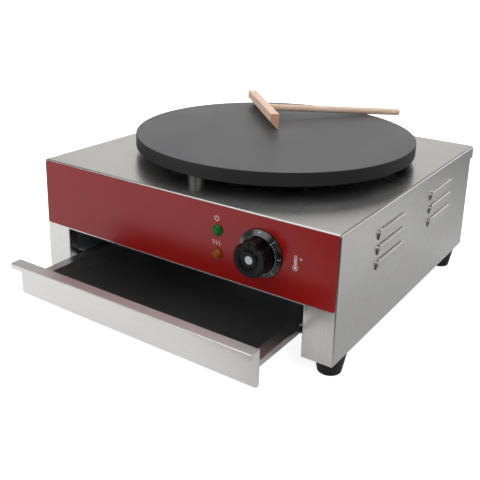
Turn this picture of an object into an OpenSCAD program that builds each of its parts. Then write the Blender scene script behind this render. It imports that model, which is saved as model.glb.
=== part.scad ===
// Electric crepe maker: a round cast-iron griddle on a folded stainless body, with a control
// panel above a pull-out drawer, and a wooden spreader lying on the griddle.
// Millimetres, +Z up, the front faces -Y. Every piece is drawn with the body's front face at
// y = 0, and in_frame() then puts the origin under the middle of the whole machine.

/* [Body] */
// Width of the stainless body
body_w = 452; // [446:1:470]
// Depth of the body's side walls
body_d = 442; // [440:1:456]
// Height of the body without its feet
body_h = 158; // [156:1:170]
// Thickness of the stainless sheet
sheet_t = 1.2; // [1:0.1:1.5]
// Outer radius of the sheet's bends
bend_r = 1.8; // [1.6:0.1:3]
// Outer radius of the bends between the deck and the side walls
side_bend_r = 3.2; // [2.8:0.1:3.6]
// Height of the front above the drawer opening
fascia_h = 94; // [92:1:95]
// How far the deck runs past the side walls at the back
rear_lip = 10; // [8:1:12]
// How far that lip folds down
rear_lip_drop = 18; // [14:1:22]
// Depth of the folds around the drawer opening
opening_fold = 15; // [12:1:15]

/* [Control panel] */
// Thickness of the red panel
panel_t = 0.6; // [0.5:0.1:0.8]
// Distance of the knob and its thermostat from the middle
knob_x = 127.5; // [115:0.5:135]
// Depth of the knob's axis below the deck
knob_drop = 46; // [42:1:48]
// Distance of the two lamps from the middle
lamp_x = 67.5; // [60:0.5:72]
// Depth of the green lamp below the deck
green_drop = 32.5; // [30:0.5:34]
// Depth of the amber lamp below the deck
amber_drop = 62.2; // [60:0.2:64]

/* [Knob] */
// Diameter of the fixed dial ring
dial_d = 58.4; // [56:0.2:62]
// Diameter of the turning grip
grip_d = 43; // [40:0.5:44]
// How far the grip stands out from the body
grip_reach = 25; // [22:0.5:28]

/* [Louvres] */
// Length of one louvre
louvre_l = 82; // [74:1:86]
// Height of one louvre
louvre_h = 12.8; // [11:0.2:13.4]
// How far the top of a louvre stands out from the side wall
louvre_reach = 3.8; // [3:0.1:4]
// How far its lower edge stands out
louvre_foot_reach = 1.7; // [1.5:0.1:2.5]
// Height from one louvre to the next
louvre_pitch = 19.3; // [18:0.1:20]
// Depth of the first louvre's top below the deck
louvre_drop = 24.8; // [22:0.2:26]

/* [Drawer] */
// Width of the drawer's front plate
front_w = 366.5; // [364:0.5:367]
// How far the drawer stands open
drawer_open = 86; // [60:1:100]
// Length of the tray
tray_l = 400; // [380:1:404]
// Width of the tray between its side walls
pan_w = 324; // [316:1:326]
// Width of the tray over its rim
rim_w = 352; // [350:1:353]
// Depth of the handle flange
handle_l = 15.3; // [14:0.1:18]
// Depth of the handle's folded lip
handle_lip = 7.4; // [6:0.1:9]

/* [Griddle] */
// Radius of the griddle
griddle_r = 200; // [196:1:203]
// Distance of the griddle's centre from the front face
griddle_y = 234; // [230:1:238]
// Air gap between the deck and the griddle's skirt
griddle_gap = 11; // [10:0.5:14]
// Height of the griddle's skirt
griddle_h = 18.5; // [15.5:0.5:20]
// Thickness of the griddle's cooking plate
griddle_web = 9; // [8:0.5:10]

/* [Feet] */
// Height of the rubber feet
foot_h = 27; // [20:1:30]
// Radius of a foot where it meets the body
foot_top_r = 19.5; // [18:0.5:19.5]
// Radius of a foot where it meets the table
foot_bottom_r = 14.3; // [13:0.1:16]

/* [Spreader] */
// Length of the spreader's head
head_l = 178; // [150:1:200]
// Thickness of the head
head_t = 13; // [12:0.5:16]
// Height of the head
head_h = 23; // [20:0.5:28]
// Diameter of the dowel handle
dowel_d = 10.4; // [9:0.1:12]
// Length of the handle outside the head
dowel_l = 220.8; // [215:0.2:240]

/* [Hidden] */
$fn = 72;

// Levels above the table
deck_z = foot_h + body_h;
deck_under = deck_z - sheet_t;
opening_z = deck_z - fascia_h;
skirt_z = deck_z + griddle_gap;
griddle_z = skirt_z + griddle_h;
web_z = griddle_z - griddle_web;
knob_z = deck_z - knob_drop;
half_w = body_w / 2;
wall_x = half_w - sheet_t;
cut = 1;                       // how far a cutting solid runs past what it cuts
panel_r = 3;                   // corner radius of the control panel
panel_foot = 2.5;              // bare strip between the panel and the drawer opening
louvre_ys = [139.5, 311];      // middles of the two columns of louvres
louvre_rows = 3;
louvre_corner = 8;             // radius of a louvre's upper corners
louvre_slope = [2, 3.6];       // how far the slope along its top runs in, and how far down
stat_screw_dx = 14;            // thermostat screws left and right of the knob's axis
lamp_d = 10;                   // thread of the lamps

// Drawer bay: the opening, the housing around it and the rails in it
opening_w = 370;
housing_x = opening_w / 2 + 1.4;         // inner face of the housing's side walls
housing_out = housing_x + sheet_t;
housing_z = opening_z + sheet_t;         // underside of the housing's ceiling
ceiling_z = housing_z + sheet_t;
housing_back = 410.3;
front_top = deck_z - 107.5;
front_bottom = deck_z - 155;
rim_z = deck_z - 130.4;
rim_lip = 7.2;
pan_bottom = deck_z - 151.2;
rail_gap = 0.3;
rail_foot_z = rim_z - rim_lip - rail_gap;
rail_front = opening_fold + 0.5;
rail_back = 408;
housing_screw_xs = [-155, 0, 155];
housing_screw_y = 6.5;

// Base frame on the shell's bottom flanges
flange_w = 30;
frame_t = 1.5;
frame_z = foot_h + sheet_t;
frame_upstand = 14;
foot_x = half_w - 20;
foot_front_y = 34;
foot_rear_y = body_d - 36;
foot_ys = [foot_front_y, foot_rear_y];
foot_hole_d = 6.6;

// Rear panel and its gland
rear_screw_x = half_w - 9;
rear_screw_zs = [foot_h + 36, foot_h + 126];
rear_screw_foot_z = foot_h + 8;
vent_z = deck_z - 54;
vent_pitch_x = 44;
vent_pitch_z = 10;
vent_l = 30;
vent_h = 4;
gland_x = -150;
gland_z = deck_z - 64;
gland_bore = 10.4;

// Griddle, element and what carries them
skirt_w = 10;
post_r = 187;
post_angles = [-90, 30, 150];
post_d = 22;
deck_hole_r = 168;
dish_z = deck_z - 32;
dish_flange_r = 198;
element_d = 8.5;
element_z = web_z - element_d / 2 - 0.1;
outer_loop_r = 150;
inner_loop_r = 100;
loop_mid_r = (outer_loop_r + inner_loop_r) / 2;
loop_start = -40;
loop_sweep = 320;
cold_bend_r = 12;
cold_end_z = dish_z - 4;
cold_hole_d = 10.4;
pin_d = 4;
stud_hole_d = 8.4;
clip_screw_dy = 12;
clamp_angles = [0, 120, 240];
clamp_z = element_z - element_d / 2 - 2.1;
bulb_d = 6;
bulb_y = griddle_y - 44;
bulb_l = 80;
bulb_z = web_z - bulb_d / 2 - 0.1;
pipe_drop_x = bulb_l / 2 + 26;           // where the capillary goes down through the dish

// Spreader: its head stands on the griddle and its handle leans on the rim
spreader_x = -63.5;
spreader_y = 307.4;
spreader_turn = 43.86;
dowel_z = 14.1;
socket_l = 10;                 // how deep the handle sits in the head
edge_w = 1.5;                  // width of the head's lower edge
bevel_h = 10.7;                // height at which the head's bevel ends
end_round = 1.5;
spreader_z = griddle_z + 0.35;
handle_way = [cos(spreader_turn), sin(spreader_turn)];
from_centre = [spreader_x, spreader_y - griddle_y];
rim_way = sqrt(pow(from_centre * handle_way, 2) + griddle_r * griddle_r - from_centre * from_centre)
    - from_centre * handle_way;          // way along the handle from the head to the rim
spreader_tilt = asin((dowel_z - dowel_d / 2) / rim_way);

// The whole machine reaches from the drawer's handle to the end of the spreader
front_reach = -drawer_open - handle_l;
dowel_run = dowel_l + edge_w / 2;
lean_y = cos(spreader_tilt) * sin(spreader_turn);
back_reach = spreader_y + (dowel_run - end_round) * lean_y
    + dowel_z * sin(spreader_tilt) * sin(spreader_turn)
    + (dowel_d / 2 - end_round) * sqrt(1 - lean_y * lean_y) + end_round;
mid_y = (front_reach + back_reach) / 2;

module in_frame() { translate([0, -mid_y, 0]) children(); }

// A box between two corners
module block(from, to) { translate(from) cube(to - from); }

// A point in the bay above the drawer, by its depth below the deck
function bay(x, y, down) = [x, y, deck_z - down];

// Turns what is drawn along Z to run along Y, starting at the given place
module along_y(place) { translate(place) rotate([-90, 0, 0]) children(); }

// Draws the children on the right and again on the left
module both_sides() { children(); mirror([1, 0, 0]) children(); }

// A rectangle with its four corners rounded, centred on X and standing on Y = 0
module round_plate(w, h, r) {
    translate([-w / 2 + r, 0]) square([w - 2 * r, h]);
    translate([-w / 2, r]) square([w, h - 2 * r]);
    for (x = [-w / 2 + r, w / 2 - r], y = [r, h - r]) translate([x, y]) circle(r);
}

// A box of width w and depth d whose top and upright edges are bent to radius r, and to side_r
// along the top of its sides
module bent_case(w, d, h, r, side_r) {
    intersection() {
        translate([0, d, -h]) rotate([90, 0, 0]) linear_extrude(d) round_plate(w, 2 * h, side_r);
        linear_extrude(h) round_plate(w, d, r);
        translate([-w / 2, d / 2, -h]) rotate([90, 0, 90]) linear_extrude(w) round_plate(d, 2 * h, r);
    }
}

// A pan-head screw: the head's top at z = 0, the shank pointing down
module pan_screw(d, l, head_d, head_h) {
    translate([0, 0, -head_h]) cylinder(d = head_d, h = head_h);
    translate([0, 0, -head_h - l]) cylinder(d = d, h = l);
}

// A hexagon nut standing on z = 0
module hex_nut(flats, h, bore) {
    difference() {
        cylinder(d = flats / cos(30), h = h, $fn = 6);
        translate([0, 0, -cut]) cylinder(d = bore, h = h + 2 * cut);
    }
}

// A tube of diameter d along a smooth line through the points p
function unit(v) = v / norm(v);
function spline(p, i, u) =
    let (a = p[max(i - 1, 0)], b = p[i], c = p[i + 1], e = p[min(i + 2, len(p) - 1)])
    (2 * b + (c - a) * u + (2 * a - 5 * b + 4 * c - e) * u * u + (3 * b - a - 3 * c + e) * u * u * u) / 2;
function smooth_line(p, steps) = concat(
    [for (i = [0 : len(p) - 2], k = [0 : steps - 1]) spline(p, i, k / steps)], [p[len(p) - 1]]);
function heading(q, i) = unit(q[min(i + 1, len(q) - 1)] - q[max(i - 1, 0)]);
function sideways(q) =
    let (first = heading(q, 0), start = unit(cross(first, abs(first.z) > 0.8 ? [1, 0, 0] : [0, 0, 1])))
    [for (i = 0, n = start; i < len(q);
        i = i + 1, n = i < len(q) ? unit(n - heading(q, i) * (n * heading(q, i))) : n) n];
module wire(p, d, steps = 4) {
    sides = 8;
    q = smooth_line(p, steps);
    n = sideways(q);
    rings = len(q);
    points = [for (i = [0 : rings - 1], k = [0 : sides - 1])
        q[i] + d / 2 * (cos(k * 360 / sides) * n[i] + sin(k * 360 / sides) * cross(heading(q, i), n[i]))];
    walls = [for (i = [0 : rings - 2], k = [0 : sides - 1])
        let (a = i * sides + k, b = i * sides + (k + 1) % sides)
        each [[a, a + sides, b], [b, a + sides, b + sides]]];
    ends = [[for (k = [0 : sides - 1]) k], [for (k = [sides - 1 : -1 : 0]) (rings - 1) * sides + k]];
    polyhedron(points = points, faces = concat(walls, ends));
}

// ---- Body ----

// Outline of a louvre in the side wall's plane, with round upper corners; its foot is at Y = 0
module louvre_outline(inset) {
    w = louvre_l - 2 * inset;
    top = louvre_h - inset;
    r = louvre_corner - inset;
    translate([-w / 2, -cut]) square([w, top - r + cut]);
    translate([-w / 2 + r, -cut]) square([w - 2 * r, top + cut]);
    for (side = [-1, 1]) translate([side * (w / 2 - r), top - r]) circle(r);
}

// Section of a louvre: nearly level on top, down a slope to its crest, then back to its open foot
module louvre_section(inset) {
    base = -sheet_t - cut / 2;
    reach = louvre_reach - inset;
    foot_reach = louvre_foot_reach - inset;
    top = louvre_h - inset;
    foot = inset > 0 ? -cut : 0;
    crest = top - 0.4 - louvre_slope.y;
    polygon([[base, 0], [0, 0], [0, foot], [foot_reach, foot], [foot_reach, 0], [reach, crest],
        [reach - louvre_slope.x, top - 0.4], [0, top], [base, top]]);
}

// The pressed-out hood of a louvre; inset by the sheet's thickness it is the hollow inside it
module louvre_hood(inset) {
    intersection() {
        translate([-sheet_t - cut / 2, 0, 0]) rotate([90, 0, 90])
            linear_extrude(2 * louvre_reach + 3) louvre_outline(inset);
        translate([0, louvre_l / 2, 0]) rotate([90, 0, 0]) linear_extrude(louvre_l) louvre_section(inset);
    }
}

// Places of a side wall's louvres, in columns
module louvre_places() {
    for (y = louvre_ys, row = [0 : louvre_rows - 1])
        translate([half_w, y, deck_z - louvre_drop - row * louvre_pitch - louvre_h]) children();
}

module outer_shell() color("silver") in_frame() {
    deck_d = body_d + rear_lip;
    difference() {
        union() {
            difference() {
                translate([0, 0, foot_h]) bent_case(body_w, deck_d, body_h, bend_r, side_bend_r);
                translate([0, sheet_t, foot_h - cut]) bent_case(body_w - 2 * sheet_t,
                    deck_d - 2 * sheet_t, body_h - sheet_t + cut, bend_r - sheet_t, side_bend_r - sheet_t);
                block([-half_w - cut, body_d, 0], [half_w + cut, deck_d + cut, deck_z - rear_lip_drop]);
                block([-opening_w / 2, -cut, 0], [opening_w / 2, 2 * sheet_t, opening_z]);
            }
            both_sides() {
                block([opening_w / 2, sheet_t / 2, foot_h],
                    [opening_w / 2 + sheet_t, opening_fold, opening_z + sheet_t]);
                block([wall_x - flange_w, sheet_t, foot_h],
                    [wall_x + sheet_t / 2, body_d - sheet_t / 2, frame_z]);
                block([wall_x - opening_fold, body_d - sheet_t, foot_h],
                    [wall_x + sheet_t / 2, body_d, deck_z - rear_lip_drop - 2]);
                louvre_places() louvre_hood(0);
            }
            block([-opening_w / 2, sheet_t / 2, opening_z], [opening_w / 2, opening_fold, opening_z + sheet_t]);
        }
        both_sides() {
            louvre_places() louvre_hood(sheet_t);
            for (y = foot_ys) translate([foot_x, y, 0]) cylinder(d = foot_hole_d, h = deck_z / 2);
        }
        rear_screw_places() translate([0, 0, -2 * cut]) cylinder(d = 3.4, h = 3 * cut);
        translate([0, griddle_y, deck_under - cut]) cylinder(r = deck_hole_r, h = sheet_t + 2 * cut);
        griddle_posts() translate([0, 0, deck_under - cut]) cylinder(d = stud_hole_d, h = sheet_t + 2 * cut);
        panel_holes(-cut, 2 * sheet_t);
        for (x = housing_screw_xs) translate([x, housing_screw_y, opening_z - cut])
            cylinder(d = 3.2, h = sheet_t + 2 * cut);
    }
}

// Holes that the panel and the shell behind it share
module panel_holes(from, to) {
    along_y([knob_x, from, knob_z]) cylinder(d = 10.4, h = to - from);
    for (side = [-1, 1]) along_y([knob_x + side * stat_screw_dx, from, knob_z])
        cylinder(d = 4.2, h = to - from);
    for (drop = [green_drop, amber_drop])
        along_y([lamp_x, from, deck_z - drop]) cylinder(d = lamp_d + 0.2, h = to - from);
}

module control_panel() color("firebrick") in_frame() difference() {
    translate([0, 0, opening_z + panel_foot]) rotate([90, 0, 0]) linear_extrude(panel_t)
        round_plate(body_w - 2 * bend_r - 0.2, fascia_h - panel_foot - bend_r, panel_r);
    panel_holes(-panel_t - cut, cut);
}

// Rear panel: screwed to the body's rear flanges and to the base frame
module rear_screw_places() {
    both_sides() for (z = rear_screw_zs) along_y([rear_screw_x, body_d, z]) children();
}
module rear_foot_screw_place() { along_y([0, body_d, rear_screw_foot_z]) children(); }

module rear_panel() color("silver") in_frame() difference() {
    translate([0, body_d + sheet_t, foot_h + 1.5]) rotate([90, 0, 0])
        linear_extrude(sheet_t) round_plate(body_w - 4, body_h - 11.5, 2);
    for (row = [0 : 3], column = [-3 : 3])
        along_y([column * vent_pitch_x, body_d - cut, vent_z - row * vent_pitch_z]) vent_slot();
    along_y([gland_x, body_d - cut, gland_z]) cylinder(d = 16.4, h = sheet_t + 2 * cut);
    rear_screw_places() translate([0, 0, -cut]) cylinder(d = 3.4, h = sheet_t + 2 * cut);
    rear_foot_screw_place() translate([0, 0, -cut]) cylinder(d = 3.4, h = sheet_t + 2 * cut);
}

// One vent slot with round ends
module vent_slot() {
    end_x = (vent_l - vent_h) / 2;
    for (x = [-end_x, end_x]) translate([x, 0, 0]) cylinder(d = vent_h, h = sheet_t + 2 * cut, $fn = 24);
    translate([-end_x, -vent_h / 2, 0]) cube([2 * end_x, vent_h, sheet_t + 2 * cut]);
}

module base_frame() color("lightgray") in_frame() {
    back = body_d - sheet_t - 0.4;
    difference() {
        union() {
            both_sides() {
                block([housing_out, rail_front, frame_z], [wall_x - 0.3, back, frame_z + frame_t]);
                block([housing_out, rail_front, frame_z],
                    [housing_out + frame_t, back, frame_z + frame_upstand]);
            }
            block([-housing_out - cut, housing_back + sheet_t, frame_z],
                [housing_out + cut, back, frame_z + frame_t]);
            block([-housing_out - cut, housing_back + sheet_t, frame_z],
                [housing_out + cut, housing_back + sheet_t + frame_t, frame_z + frame_upstand]);
            block([-60, back - frame_t, frame_z], [60, back, frame_z + frame_upstand]);
        }
        both_sides() for (y = foot_ys) translate([foot_x, y, frame_z - cut])
            cylinder(d = foot_hole_d, h = frame_t + 2 * cut);
        along_y([0, back - frame_t - cut, rear_screw_foot_z]) cylinder(d = 3.2, h = frame_t + 2 * cut);
    }
}

module drawer_housing() color("gray") in_frame() difference() {
    union() {
        both_sides() block([housing_x, 1.5, frame_z + 0.3], [housing_out, housing_back + sheet_t, ceiling_z]);
        block([-housing_out, 1.5, housing_z], [housing_out, housing_back + sheet_t, ceiling_z]);
        block([-housing_out, housing_back, frame_z + 0.3], [housing_out, housing_back + sheet_t, ceiling_z]);
    }
    for (x = housing_screw_xs) translate([x, housing_screw_y, housing_z - cut])
        cylinder(d = 2.6, h = sheet_t + 2 * cut);
    rivet_places() translate([housing_x - cut, 0, 0]) rotate([0, 90, 0])
        cylinder(d = 3.2, h = sheet_t + 2 * cut);
    for (dx = block_screw_dxs) translate([block_x + dx, block_y, housing_z - cut])
        cylinder(d = 3.2, h = sheet_t + 2 * cut);
    translate([earth_x, block_y, housing_z - cut]) cylinder(d = 5.2, h = sheet_t + 2 * cut);
}

// One rail: a channel that holds the tray's rim flange from above and below
module drawer_rail() in_frame() difference() {
    union() {
        block([rim_w / 2 - 4, rail_front, rail_foot_z - sheet_t], [housing_x, rail_back, rail_foot_z]);
        block([housing_x - sheet_t, rail_front, rail_foot_z - sheet_t], [housing_x, rail_back, rim_z + 2.6]);
        block([rim_w / 2 - 2.5, rail_front, rim_z + 1.4], [housing_x, rail_back, rim_z + 2.6]);
    }
    for (y = rivet_ys) translate([housing_x - sheet_t - cut, y, rivet_z]) rotate([0, 90, 0])
        cylinder(d = 3.2, h = sheet_t + 2 * cut);
}
module right_drawer_rail() color("dimgray") drawer_rail();
module left_drawer_rail() color("dimgray") mirror([1, 0, 0]) drawer_rail();

rivet_ys = [60, 210, 360];
rivet_z = rail_foot_z + 4.5;
module rivet_places() { both_sides() for (y = rivet_ys) translate([0, y, rivet_z]) children(); }

module rail_rivets() color("silver") in_frame() rivet_places() translate([housing_x - sheet_t, 0, 0]) {
    rotate([0, -90, 0]) cylinder(d = 6, h = 1);
    rotate([0, 90, 0]) cylinder(d = 3.1, h = 2 * sheet_t + 0.4);
    translate([2 * sheet_t, 0, 0]) rotate([0, 90, 0]) cylinder(d = 5, h = 1);
}

module housing_screws() color("gray") in_frame()
    for (x = housing_screw_xs) translate([x, housing_screw_y, opening_z]) rotate([180, 0, 0])
        translate([0, 0, 2]) pan_screw(2.5, 4.5, 5.4, 2);

module rear_panel_screws() color("gray") in_frame() {
    rear_screw_places() translate([0, 0, sheet_t + 2]) pan_screw(3.1, 6, 6.4, 2);
    rear_foot_screw_place() translate([0, 0, sheet_t + 2]) pan_screw(3.1, 6, 6.4, 2);
}

// ---- Griddle ----

module griddle_posts() {
    for (a = post_angles) translate([post_r * cos(a), griddle_y + post_r * sin(a), 0]) children();
}
module clamp_places() {
    for (a = clamp_angles) translate([0, griddle_y, 0]) rotate([0, 0, a])
        translate([loop_mid_r, 0, 0]) children();
}

module griddle_plate() color([0.25, 0.25, 0.26]) in_frame() difference() {
    union() {
        translate([0, griddle_y, skirt_z]) rotate_extrude() {
            translate([0, griddle_h - griddle_web]) square([griddle_r - 1, griddle_web]);
            translate([griddle_r - skirt_w, 2]) square([skirt_w, griddle_h - 3]);
            translate([griddle_r - skirt_w, 0]) square([skirt_w - 2, griddle_h]);
            translate([griddle_r - 2, 2]) circle(2);
            translate([griddle_r - 1, griddle_h - 1]) circle(1);
        }
        griddle_posts() translate([0, 0, skirt_z]) cylinder(r = 12, h = griddle_h - griddle_web / 2);
        clamp_places() translate([0, 0, web_z - 3]) cylinder(r = 9, h = 3 + griddle_web / 2);
    }
    griddle_posts() translate([0, 0, skirt_z - cut]) cylinder(d = 8.1, h = 10 + cut);
    clamp_places() translate([0, 0, web_z - 3 - cut]) cylinder(d = 6.1, h = 8 + cut);
    clip_screw_places() translate([0, 0, web_z - cut]) cylinder(d = 4.1, h = 3 + cut);
}

module plate_spacers() color("silver") in_frame() griddle_posts() translate([0, 0, deck_z]) difference() {
    cylinder(d = post_d, h = griddle_gap);
    translate([0, 0, -cut]) cylinder(d = stud_hole_d, h = griddle_gap + 2 * cut);
}

stud_bottom = deck_under - 15;
washer_t = 1.6;
plate_nut_h = 6.5;
module plate_studs() color("gray") in_frame() griddle_posts() translate([0, 0, stud_bottom])
    cylinder(d = 8, h = skirt_z + 9 - stud_bottom);

module plate_nuts() color("silver") in_frame() griddle_posts() {
    translate([0, 0, deck_under - sheet_t - washer_t]) difference() {
        cylinder(d = 18, h = washer_t);
        translate([0, 0, -cut]) cylinder(d = stud_hole_d, h = washer_t + 2 * cut);
    }
    translate([0, 0, deck_under - sheet_t - washer_t - plate_nut_h]) hex_nut(13, plate_nut_h, 8.2);
}

// Tubular element: two loops joined by a U bend, with two ends that turn down
module heating_element() color("dimgray") in_frame()
    translate([0, griddle_y, element_z]) rotate([0, 0, loop_start]) {
    for (r = [outer_loop_r, inner_loop_r]) {
        rotate_extrude(angle = loop_sweep) translate([r, 0]) circle(d = element_d, $fn = 32);
        translate([r, 0, -cold_bend_r]) rotate([180, -90, 0])
            rotate_extrude(angle = 90) translate([cold_bend_r, 0]) circle(d = element_d, $fn = 32);
        translate([r, -cold_bend_r, cold_end_z - element_z])
            cylinder(d = element_d, h = element_z - cold_bend_r - cold_end_z, $fn = 32);
        translate([r, -cold_bend_r, cold_end_z - element_z - 12]) cylinder(d = pin_d, h = 14, $fn = 32);
    }
    // The tight U bend draws the sheath a little thinner
    rotate([0, 0, loop_sweep]) translate([loop_mid_r, 0, 0]) rotate_extrude(angle = 180)
        translate([(outer_loop_r - inner_loop_r) / 2, 0]) circle(d = element_d - 0.3, $fn = 32);
}

// Where the element's two cold ends hang down
module cold_ends() {
    translate([0, griddle_y, 0]) rotate([0, 0, loop_start])
        for (r = [outer_loop_r, inner_loop_r]) translate([r, -cold_bend_r, 0]) children();
}

module element_beads() color("white") in_frame() cold_ends() translate([0, 0, cold_end_z - 5]) difference() {
    cylinder(d = 9, h = 4.8);
    translate([0, 0, -cut]) cylinder(d = 4.2, h = 5 + 2 * cut);
}

module element_clamps() color("silver") in_frame() clamp_places() difference() {
    translate([-33, -9, clamp_z]) cube([66, 18, 2]);
    translate([0, 0, clamp_z - cut]) cylinder(d = 6.4, h = 2 + 2 * cut);
}

module clamp_studs() color("gray") in_frame() clamp_places() translate([0, 0, clamp_z - 8])
    cylinder(d = 6, h = web_z + 4.5 - clamp_z + 8);

module clamp_nuts() color("silver") in_frame() clamp_places()
    translate([0, 0, clamp_z - 5]) hex_nut(10, 5, 6.1);

module reflector_dish() color("goldenrod") in_frame() difference() {
    translate([0, griddle_y, 0]) rotate_extrude() polygon([[0, dish_z], [158, dish_z],
        [166.6, deck_under - sheet_t], [dish_flange_r, deck_under - sheet_t], [dish_flange_r, deck_under],
        [165.6, deck_under], [157.2, dish_z + sheet_t], [0, dish_z + sheet_t]]);
    griddle_posts() translate([0, 0, deck_under - sheet_t - cut])
        cylinder(d = stud_hole_d, h = sheet_t + 2 * cut);
    cold_ends() translate([0, 0, dish_z - cut]) cylinder(d = cold_hole_d, h = sheet_t + 2 * cut);
    translate([pipe_drop_x, bulb_y, dish_z - cut]) cylinder(d = 6, h = sheet_t + 2 * cut);
}

module insulation_disc() color("beige") in_frame() difference() {
    translate([0, griddle_y, dish_z + sheet_t + 0.2]) cylinder(r = 152, h = 22);
    cold_ends() translate([0, 0, dish_z]) cylinder(d = 12, h = 40);
    translate([pipe_drop_x, bulb_y, dish_z]) cylinder(d = 6, h = 40);
}

// ---- Thermostat ----

stat_back = 31;
module thermostat_body() color("saddlebrown") in_frame() difference() {
    union() {
        block([knob_x - 21, sheet_t, knob_z - 23], [knob_x + 21, stat_back, knob_z + 23]);
        along_y([knob_x, -2, knob_z]) cylinder(d = 10, h = sheet_t + 3);
        for (dx = [-tab_dx, tab_dx], dz = [-tab_dz, tab_dz])
            block([knob_x + dx - 3, stat_back - cut, knob_z + dz - 0.4],
                [knob_x + dx + 3, stat_back + 7, knob_z + dz + 0.4]);
    }
    along_y([knob_x, -2 - cut, knob_z]) cylinder(d = 6.1, h = 17 + cut);
    for (side = [-1, 1]) along_y([knob_x + side * stat_screw_dx, 0, knob_z]) cylinder(d = 4, h = 9);
}

module thermostat_screws() color("silver") in_frame() for (side = [-1, 1])
    along_y([knob_x + side * stat_screw_dx, -panel_t, knob_z]) rotate([180, 0, 0])
        translate([0, 0, 2]) pan_screw(3.8, 8, 7, 2);

module thermostat_spindle() color("silver") in_frame() along_y([knob_x, -20, knob_z]) difference() {
    cylinder(d = 6, h = 32);
    translate([-4, 1.6, -cut]) cube([8, 4, 10 + cut]);
}

module capillary_tube() color("peru") in_frame() wire([
    [bulb_l / 2 + 0.4, bulb_y, bulb_z], [bulb_l / 2 + 14, bulb_y, bulb_z - 1],
    [pipe_drop_x, bulb_y, bulb_z - 12], [pipe_drop_x, bulb_y, dish_z + 16], [pipe_drop_x, bulb_y, dish_z],
    [pipe_drop_x + 2, bulb_y - 6, dish_z - 16], bay(100, 130, 56), bay(124, 70, 54),
    [knob_x, stat_back + 14, knob_z], [knob_x, stat_back + 0.4, knob_z]], 2, 5);

module sensor_bulb() color("peru") in_frame() translate([-bulb_l / 2, bulb_y, bulb_z]) rotate([0, 90, 0])
    cylinder(d = bulb_d, h = bulb_l);

module bulb_clip() color("silver") in_frame() difference() {
    translate([-6, bulb_y, 0]) rotate([90, 0, 90]) linear_extrude(12) difference() {
        union() {
            translate([0, bulb_z]) circle(d = bulb_d + 2.6);
            translate([-17, web_z - 1.1]) square([34, 1]);
        }
        translate([0, bulb_z]) circle(d = bulb_d + 0.4);
        translate([-4, web_z - 0.1]) square([8, 4]);
        translate([-3.2, bulb_z]) square([6.4, 4]);
    }
    clip_screw_places() translate([0, 0, web_z - 2]) cylinder(d = 4.2, h = 4);
}

module clip_screw_places() {
    for (dy = [-clip_screw_dy, clip_screw_dy]) translate([0, bulb_y + dy, 0]) children();
}
module clip_screws() color("gray") in_frame() clip_screw_places()
    translate([0, 0, web_z - 3.2]) rotate([180, 0, 0]) pan_screw(4, 1.9, 7, 2);

// ---- Lamps ----

module lamp_lens(drop) in_frame() along_y([lamp_x, -panel_t - 5, deck_z - drop]) {
    cylinder(d1 = 9, d2 = 14, h = 3);
    translate([0, 0, 3]) cylinder(d = 14, h = 2);
}
module green_lamp_lens() color("green") lamp_lens(green_drop);
module amber_lamp_lens() color("orange") lamp_lens(amber_drop);

module lamp_body(drop) color("white") in_frame() {
    along_y([lamp_x, -panel_t, deck_z - drop]) cylinder(d = lamp_d, h = 28);
    for (side = [-1, 1]) block([lamp_x + side * lamp_tab_dx - 0.4, 20, deck_z - drop - 2.4],
        [lamp_x + side * lamp_tab_dx + 0.4, 34, deck_z - drop + 2.4]);
}
module green_lamp_body() { lamp_body(green_drop); }
module amber_lamp_body() { lamp_body(amber_drop); }

module lamp_nuts() color("dimgray") in_frame() for (drop = [green_drop, amber_drop])
    along_y([lamp_x, sheet_t, deck_z - drop]) hex_nut(14, 4, lamp_d + 0.1);

// ---- Electrics in the bay above the drawer ----

cutout_x = -70;
module thermal_cutout() color("ivory") in_frame() translate([cutout_x, griddle_y, dish_z]) {
    translate([0, 0, -12]) cylinder(d = 17, h = 11);
    translate([-15, -7, -1]) cube([30, 14, 1]);
    for (dx = [-cutout_dx, cutout_dx]) translate([dx - 0.4, -3, -18]) cube([0.8, 6, 8]);
}

block_x = -120;
block_y = 395;
pole_dx = 17;
block_screw_dxs = [-25, 25];
module terminal_block() color("white") in_frame() difference() {
    block([block_x - 32, block_y - 12, ceiling_z], [block_x + 32, block_y + 12, ceiling_z + 20]);
    for (k = [-1 : 1]) {
        along_y([block_x + k * pole_dx, block_y - 12 - cut, ceiling_z + 9]) cylinder(d = 5.6, h = 24 + 2 * cut);
        translate([block_x + k * pole_dx, block_y, ceiling_z + 9]) cylinder(d = 4.2, h = 20);
    }
    for (dx = block_screw_dxs) translate([block_x + dx, block_y, ceiling_z - cut]) cylinder(d = 3.4, h = 22);
}

module terminal_screws() color("silver") in_frame() {
    for (k = [-1 : 1]) translate([block_x + k * pole_dx, block_y, ceiling_z + 12.5]) cylinder(d = 4, h = 6.5);
    for (dx = block_screw_dxs) translate([block_x + dx, block_y, ceiling_z + 22]) pan_screw(3, 24, 5.6, 2);
}

earth_x = -70;
module earth_stud() color("gold") in_frame() translate([earth_x, block_y, 0]) {
    translate([0, 0, housing_z - 3]) cylinder(d = 5, h = 20);
    translate([0, 0, ceiling_z]) cylinder(d = 8 / cos(30), h = 4, $fn = 6);
    translate([0, 0, housing_z - 2]) cylinder(d = 9, h = 2);
}

module cable_gland() color("black") in_frame() difference() {
    union() {
        along_y([gland_x, body_d - 8, gland_z]) cylinder(d = 16, h = 10);
        along_y([gland_x, body_d + sheet_t, gland_z]) cylinder(d = 22 / cos(30), h = 6, $fn = 6);
        along_y([gland_x, body_d + sheet_t + 6, gland_z]) cylinder(d1 = 21, d2 = 16, h = 14);
    }
    along_y([gland_x, body_d - 8 - cut, gland_z]) cylinder(d = gland_bore, h = 40);
}

module gland_nut() color("black") in_frame() along_y([gland_x, body_d - 5.2, gland_z]) hex_nut(22, 5, 16.2);

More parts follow.
